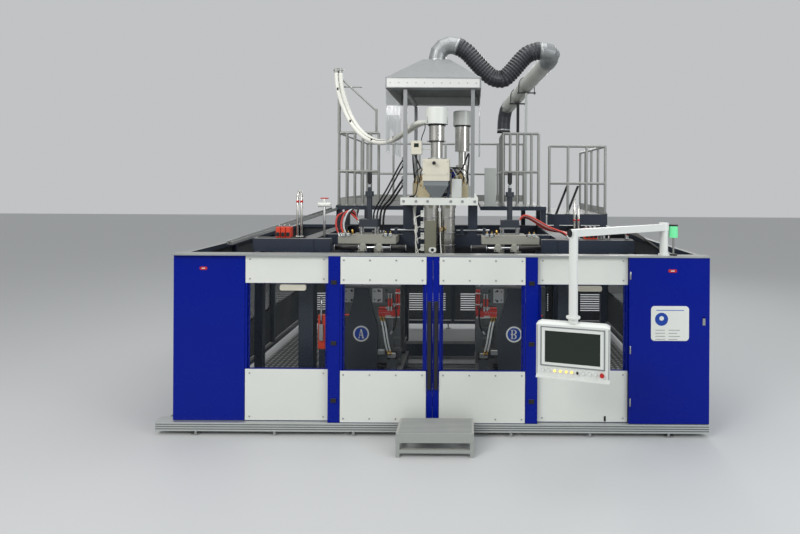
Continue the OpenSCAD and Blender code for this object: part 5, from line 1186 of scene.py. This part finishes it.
# Red hose runs on the platens, cylinders under the bridges, take-out post
for s, cx, out in STATIONS:
    ins = -out
    run = Piece(f"red_runs_{s}", f"press_front_{s}")
    for k in range(2):
        e, z = cx + ins * (0.43 - 0.03 * k), 1.222 + 0.1 * k
        run.bent([(cx + ins * 0.18, FACE - 0.03, z), (cx + ins * 0.3, FACE - 0.032, z),
                  (e - ins * 0.03, FACE - 0.03, z), (e, FACE - 0.03, z + 0.03), (e, FACE - 0.03, 1.4),
                  (e, FACE - 0.03, 1.555)], 6, 0.024, "hose_red", 8)
    for across, z in ((0.415, (1.5, 1.515)), (0.415, (1.36, 1.375)), (0.3, (1.31, 1.334)),
                      (0.3, (1.21, 1.234))):
        x = cx + ins * across
        run.box((x - 0.035, x + 0.035), (FACE - 0.046, FACE), z, "zinc", 0.002)
    run.bent([(cx + out * 0.14, FACE - 0.03, 1.23), (cx + out * 0.28, FACE - 0.032, 1.23),
              (cx + out * 0.4, FACE - 0.03, 1.23)], 4, 0.024, "hose_red", 8)
    run.box((cx + ins * 0.24 - 0.04, cx + ins * 0.24 + 0.04), (FACE - 0.04, FACE), (1.07, 1.1),
            "black", 0.003)
    run.done()
    under = Piece(f"bridge_cylinders_{s}")
    y, z = MY - 0.215, 2.072
    for a, b in ((-0.395, -0.1), (0.315, 0.5)):
        x0, x1 = cx + ins * a, cx + ins * b
        under.rod((x0, y, z), (x1, y, z), 0.07, "black", 20)
        under.rod((x0, y, z), (x0 - (x1 - x0) * 0.04, y, z), 0.078, "zinc", 20)
        under.rod((x1, y, z), (x1 + (x1 - x0) * 0.04, y, z), 0.078, "zinc", 20)
    under.rod((cx + ins * -0.09, y, z), (cx + ins * 0.31, y, z), 0.03, "polished", 16)
    for a in (-0.046, 0.163):
        x = cx + ins * a
        under.plate([(x - 0.05, z - 0.045), (x + 0.05, z - 0.045), (x + 0.045, z + 0.01),
                     (x + 0.03, z + 0.04), (x + 0.02, z + 0.046), (x - 0.02, z + 0.046),
                     (x - 0.03, z + 0.04), (x - 0.045, z + 0.01)], y - 0.035, y + 0.035, "cast", 0.004)
        for dx in (-0.034, 0.034):
            under.rod((x + dx, y - 0.043, z - 0.025), (x + dx, y - 0.034, z - 0.025), 0.016, "black", 6)
    under.rod((cx - 0.18, MY - 0.2, 2.24), (cx - 0.18, MY - 0.2, 2.3), 0.03, "brass", 8)
    for dx in (-0.3, -0.24, 0.24, 0.3):
        under.box((cx + dx - 0.02, cx + dx + 0.02), (MY - 0.19, MY - 0.15), (2.206, 2.25), "alu", 0.004)
        under.rod((cx + dx, MY - 0.17, 2.25), (cx + dx, MY - 0.17, 2.275), 0.016, "brass", 8)
    under.done()
post = Piece("take_out_post")
post.box((-1.44, -1.37), (MY - 0.43, MY - 0.39), (0.26, 0.84), "slate", 0.004)
post.box((-1.45, -1.36), (MY - 0.44, MY - 0.38), (0.84, 1.26), "orange", 0.006)
post.box((-1.43, -1.38), (MY - 0.47, MY - 0.44), (0.95, 1.15), "zinc", 0.004)
post.rod((-1.405, MY - 0.455, 1.15), (-1.405, MY - 0.455, 1.5), 0.026, "polished", 14)
post.done()

# Straps that hold the return duct on its stands
strap = Piece("duct_straps")
for c, foot in ((RETURN[3], 4.362), (RETURN[2], 4.47)):
    arc = [(c[0] + 0.136 * math.cos(math.radians(a)), c[1], c[2] + 0.14 * math.sin(math.radians(a)))
           for a in range(0, 181, 15)]
    strap.tube([(arc[0][0], c[1], foot - 0.03)] + arc + [(arc[-1][0], c[1], foot - 0.03)], 0.014, "black", 8)
    strap.box((c[0] - 0.16, c[0] + 0.16), (c[1] - 0.03, c[1] + 0.03), (foot - 0.018, foot - 0.004),
              "black", 0.002)
    for x in (arc[0][0], arc[-1][0]):
        strap.rod((x, c[1], foot - 0.04), (x, c[1], foot - 0.02), 0.028, "zinc", 6)
strap.done()
seams = Piece("elbow_seams")
for a in (27.5, 55, 82.5):
    c, w = elbow(math.radians(a))
    seams.turned(c - w * 0.004, c + w * 0.004, [(0, 0.118), (0.2, 0.1275), (0.8, 0.1275), (1, 0.118)],
                 "zinc", 36)
seams.done()

# Wiring on the lagged heads
wiring = Piece("head_wiring")
draw = random.Random(9)
for side in (-1, 1):
    for k in range(7):
        x, y = HX + side * (0.17 + 0.03 * k), MY + 0.17 + 0.03 * draw.random()
        wiring.bent([(x, y - 0.02, 2.86 + 0.05 * draw.random()),
                     (x + 0.02, y - 0.05, 2.96 + 0.04 * draw.random()),
                     (x - side * 0.06, y + 0.05, 3.05 + 0.05 * draw.random()),
                     (HX + side * 0.05, y + 0.2, 2.99 + 0.02 * k)], 6, 0.014,
                    ("black", "hose_pale", "black", "brass", "black", "hose_white", "black")[k], 7)
        wiring.rod((x, y - 0.03, 2.8 + 0.02 * k), (x, MY + 0.138, 2.8 + 0.02 * k), 0.026,
                   "brass" if k % 2 else "zinc", 8)
for x in (-0.36, 0.36):
    wiring.bent([(HX + x * 0.9, MY + 0.3, 2.72), (HX + x, MY + 0.25, 3.0), (HX + x * 1.05, MY + 0.3, 3.3),
                 (HX + x * 0.8, MY + 0.5, 3.1), (HX + x * 0.5, MY + 0.7, 2.98)], 8, 0.022, "black", 8)
wiring.done()


# Foot plates of the handrail posts
DY, RY = MY + 1.275, REAR - 0.19  # front and rear row of posts
feet, bolts_at = Piece("rail_feet"), []
for a, b, z, n in (((-1.6, DY), (-0.99, DY), DECK_Z, 5), ((-1.6, DY), (-1.6, RY), DECK_Z, 4),
                   ((-1.6, RY), (1.47, RY), DECK_Z, 6), ((0.924, DY), (1.47, DY), DECK_Z, 5),
                   ((0.924, DY), (0.924, 1.1), DECK_Z, 2), ((1.68, 0.575), (2.57, 0.575), SIDE_DECK_Z, 3),
                   ((2.57, 0.575), (2.57, 2.6), SIDE_DECK_Z, 4)):
    for k in range(n + 1):
        x, y = a[0] + (b[0] - a[0]) * k / n, a[1] + (b[1] - a[1]) * k / n
        feet.turned((x, y, z), (x, y, z + 0.03), [(0, 0.042), (0.2, 0.042), (0.21, 0.025), (1, 0.0235)],
                    "rail", 18)
        bolts_at += [(x + dx, y + dy, z + 0.006) for dx in (-0.024, 0.024) for dy in (-0.024, 0.024)]
feet.done()
screws("rail_feet_bolts", bolts_at, "+z", 0.011, "zinc", "machine", 0.006, 61)

# Drive: terminal box, cowl, plates and cables
drive = Piece("drive_trim")
G0, M0, M1 = MY + 2.25, MY + 2.67, MY + 3.13  # front of the gearbox, front and rear of the motor
TZ = 2.921  # height of the motor's axis
drive.box((HX + 0.14, HX + 0.25), (M0 + 0.12, M0 + 0.3), (TZ - 0.06, TZ + 0.08), "slate", 0.008)
drive.box((HX + 0.25, HX + 0.256), (M0 + 0.13, M0 + 0.29), (TZ - 0.05, TZ + 0.07), "midgrey", 0.002)
drive.turned((HX, M1 - 0.06, TZ), (HX, M1 + 0.012, TZ), [(0, 0.167), (0.2, 0.172), (0.8, 0.172), (1, 0.14)],
             "slate", 32)
for k in range(5):
    drive.turned((HX, M1 + 0.0125, TZ), (HX, M1 + 0.014, TZ),
                 [(0, 0.03 + 0.022 * k), (1, 0.028 + 0.022 * k)], "black", 28)
drive.box((HX - 0.13, HX + 0.13), (G0 - 0.012, G0), (TZ + 0.07, TZ + 0.19), "blue", 0.004)
drive.box((HX - 0.06, HX + 0.06), (G0 + 0.15, G0 + 0.27), (3.136, 3.15), "midgrey", 0.003)
drive.turned((HX + 0.12, G0 + 0.3, 3.136), (HX + 0.12, G0 + 0.3, 3.17),
             [(0, 0.02), (0.6, 0.02), (0.7, 0.026), (1, 0.024)], "black", 16)
drive.disc((HX - 0.16, 2.78), 0.02, G0 - 0.006, G0, "brass")
for s in (-1, 1):
    drive.tube([(HX + s * 0.19, G0 + 0.1, 3.136), (HX + s * 0.19, G0 + 0.1, 3.15),
                (HX + s * 0.19, G0 + 0.115, 3.165), (HX + s * 0.19, G0 + 0.13, 3.15),
                (HX + s * 0.19, G0 + 0.13, 3.136)], 0.01, "zinc", 8)
drive.done()
pts = [(HX + dx, G0 + dy, 2.746) for dx in (-0.25, 0.25) for dy in (0.06, 0.36)]
screws("drive_bolts", pts, "+z", 0.026, "zinc", "machine", 0.014, 62)
power = Piece("drive_cable")
power.bent([(HX + 0.2, M0 + 0.2, TZ - 0.06), (HX + 0.2, M0 + 0.2, TZ - 0.13), (HX + 0.24, M0 + 0.12, 2.74),
            (HX + 0.3, M0 - 0.1, 2.722), (HX + 0.34, G0, 2.72), (HX + 0.36, MY + 1.6, 2.72)], 8,
           0.026, "black", 10)
power.done()

# Ribbed mat of the step, beads of the side windows
step = Piece("step_mat")
for k in range(12):
    y = FY - 0.475 + 0.031 * k
    step.box((-0.33, 0.45), (y, y + 0.012), (0.256, 0.2585), "midgrey", 0.001)
step.done()
beads = Piece("side_window_beads")
for x in (LEFT, RIGHT):
    o = -1 if x < 0 else 1
    xs = tuple(sorted((x - o * 0.004, x)))
    for k in (1, 2):
        y0, y1 = FRAME_Y + BAY * k + 0.06, FRAME_Y + BAY * (k + 1) - 0.08
        for z in ((SILL, SILL + 0.012), (HEAD - 0.012, HEAD)):
            beads.box(xs, (y0, y1), z, "black", 0.001)
        for y in ((y0, y0 + 0.012), (y1 - 0.012, y1)):
            beads.box(xs, y, (SILL, HEAD), "black", 0.001)
beads.done()


# Checker plates on the floor of the aisles inside the guards
plates = Piece("aisle_plates")
for x in ((LEFT + 0.12, -1.69), (1.69, RIGHT - 0.12)):
    for k in range(4):
        y = FY + 0.3 + 1.07 * k
        plates.box(x, (y, y + 1.06), (0.002, 0.008), "checker", 0.001)
plates.done()

# Hoses and gauges at the right end of the top beams
GAUGE_Y = MY - 0.3
right = Piece("right_top_hoses")
for k in range(4):
    y = MY - 0.29 + 0.02 * k
    right.hose([(1.93 + 0.05 * k, y, PORT_Z), (1.97 + 0.05 * k, y, 2.28 + 0.01 * k),
                (2.2 + 0.02 * k, y - 0.08, 2.315 + 0.012 * k), (2.46, y - 0.2, 2.255 + 0.012 * k),
                (2.66, FRAME_Y + 0.2 - 0.02 * k, 2.13), (2.7 + 0.02 * k, FRAME_Y + 0.11, 2.085)], 0.028,
               "black", "zinc")
right.box((2.68, 2.8), (FRAME_Y + 0.03, FRAME_Y + 0.12), (2.0571, 2.09), "midgrey", 0.004)
for k in range(2):
    right.hose([(2.12 + 0.06 * k, MY - 0.24, PORT_Z), (2.15 + 0.05 * k, MY - 0.25, 2.3),
                (2.26 + 0.03 * k, MY - 0.27, 2.345 - 0.02 * k), (2.37 + 0.02 * k, MY - 0.27, 2.3),
                (2.4 + 0.02 * k, MY - 0.25, PORT_Z)], 0.02, "hose_red" if k else "hose_pale", "zinc")
for x, z in ((1.735, 2.7), (1.785, 2.62)):
    right.rod((x, GAUGE_Y, BEAM_Z), (x, GAUGE_Y, z), 0.028, "stainless", 16)
    right.rod((x, GAUGE_Y, 2.43), (x, GAUGE_Y, 2.45), 0.034, "red", 16)
    right.rod((x, GAUGE_Y, z), (x, GAUGE_Y, z + 0.012), 0.02, "zinc", 12)
    right.rod((x, GAUGE_Y, BEAM_Z), (x, GAUGE_Y, 2.22), 0.05, "zinc", 16)
right.done()


# Floor and light
FLOOR = 40  # half the side of the floor, in metres
floor_mesh = bpy.data.meshes.new("floor")
floor_mesh.from_pydata([(-FLOOR, -FLOOR, 0), (FLOOR, -FLOOR, 0), (FLOOR, FLOOR, 0), (-FLOOR, FLOOR, 0)], [],
                       [(0, 1, 2, 3)])
floor = bpy.data.objects.new("floor", floor_mesh)
bpy.context.scene.collection.objects.link(floor)
floor_mat = bpy.data.materials.new("floor")
floor_mat.use_nodes = True
floor_bsdf = floor_mat.node_tree.nodes["Principled BSDF"]
floor_bsdf.inputs["Base Color"].default_value = (0.5, 0.51, 0.51, 1)
floor_bsdf.inputs["Roughness"].default_value = 0.55
floor_mesh.materials.append(floor_mat)

world = bpy.data.worlds.new("world")
bpy.context.scene.world = world
world.use_nodes = True
background = world.node_tree.nodes["Background"]
background.inputs["Color"].default_value = (0.86, 0.88, 0.9, 1)
background.inputs["Strength"].default_value = 0.62


def area(name, place, aim, size, power, color=(1, 1, 1)):
    """Rectangular lamp at a place, aimed at a point."""
    d = bpy.data.lights.new(name, "AREA")
    d.shape = "RECTANGLE"
    d.size, d.size_y = size
    d.energy = power
    d.color = color
    o = bpy.data.objects.new(name, d)
    bpy.context.scene.collection.objects.link(o)
    o.location = place
    o.rotation_euler = (Vector(aim) - Vector(place)).to_track_quat("-Z", "Y").to_euler()


area("key", (-5.5, -9.0, 7.5), (0, FY, 1.2), (5, 3), 560, (1, 0.98, 0.95))
area("fill", (7.5, -7.0, 5.0), (0, FY, 1.6), (4, 4), 300, (0.94, 0.97, 1))
area("top", (0.5, -1.5, 9.0), (0, 0, 2), (8, 6), 330)
area("back", (3.0, 9.0, 6.5), (0, 1, 2.5), (5, 3), 260)
bpy.context.scene.view_settings.view_transform = "Standard"
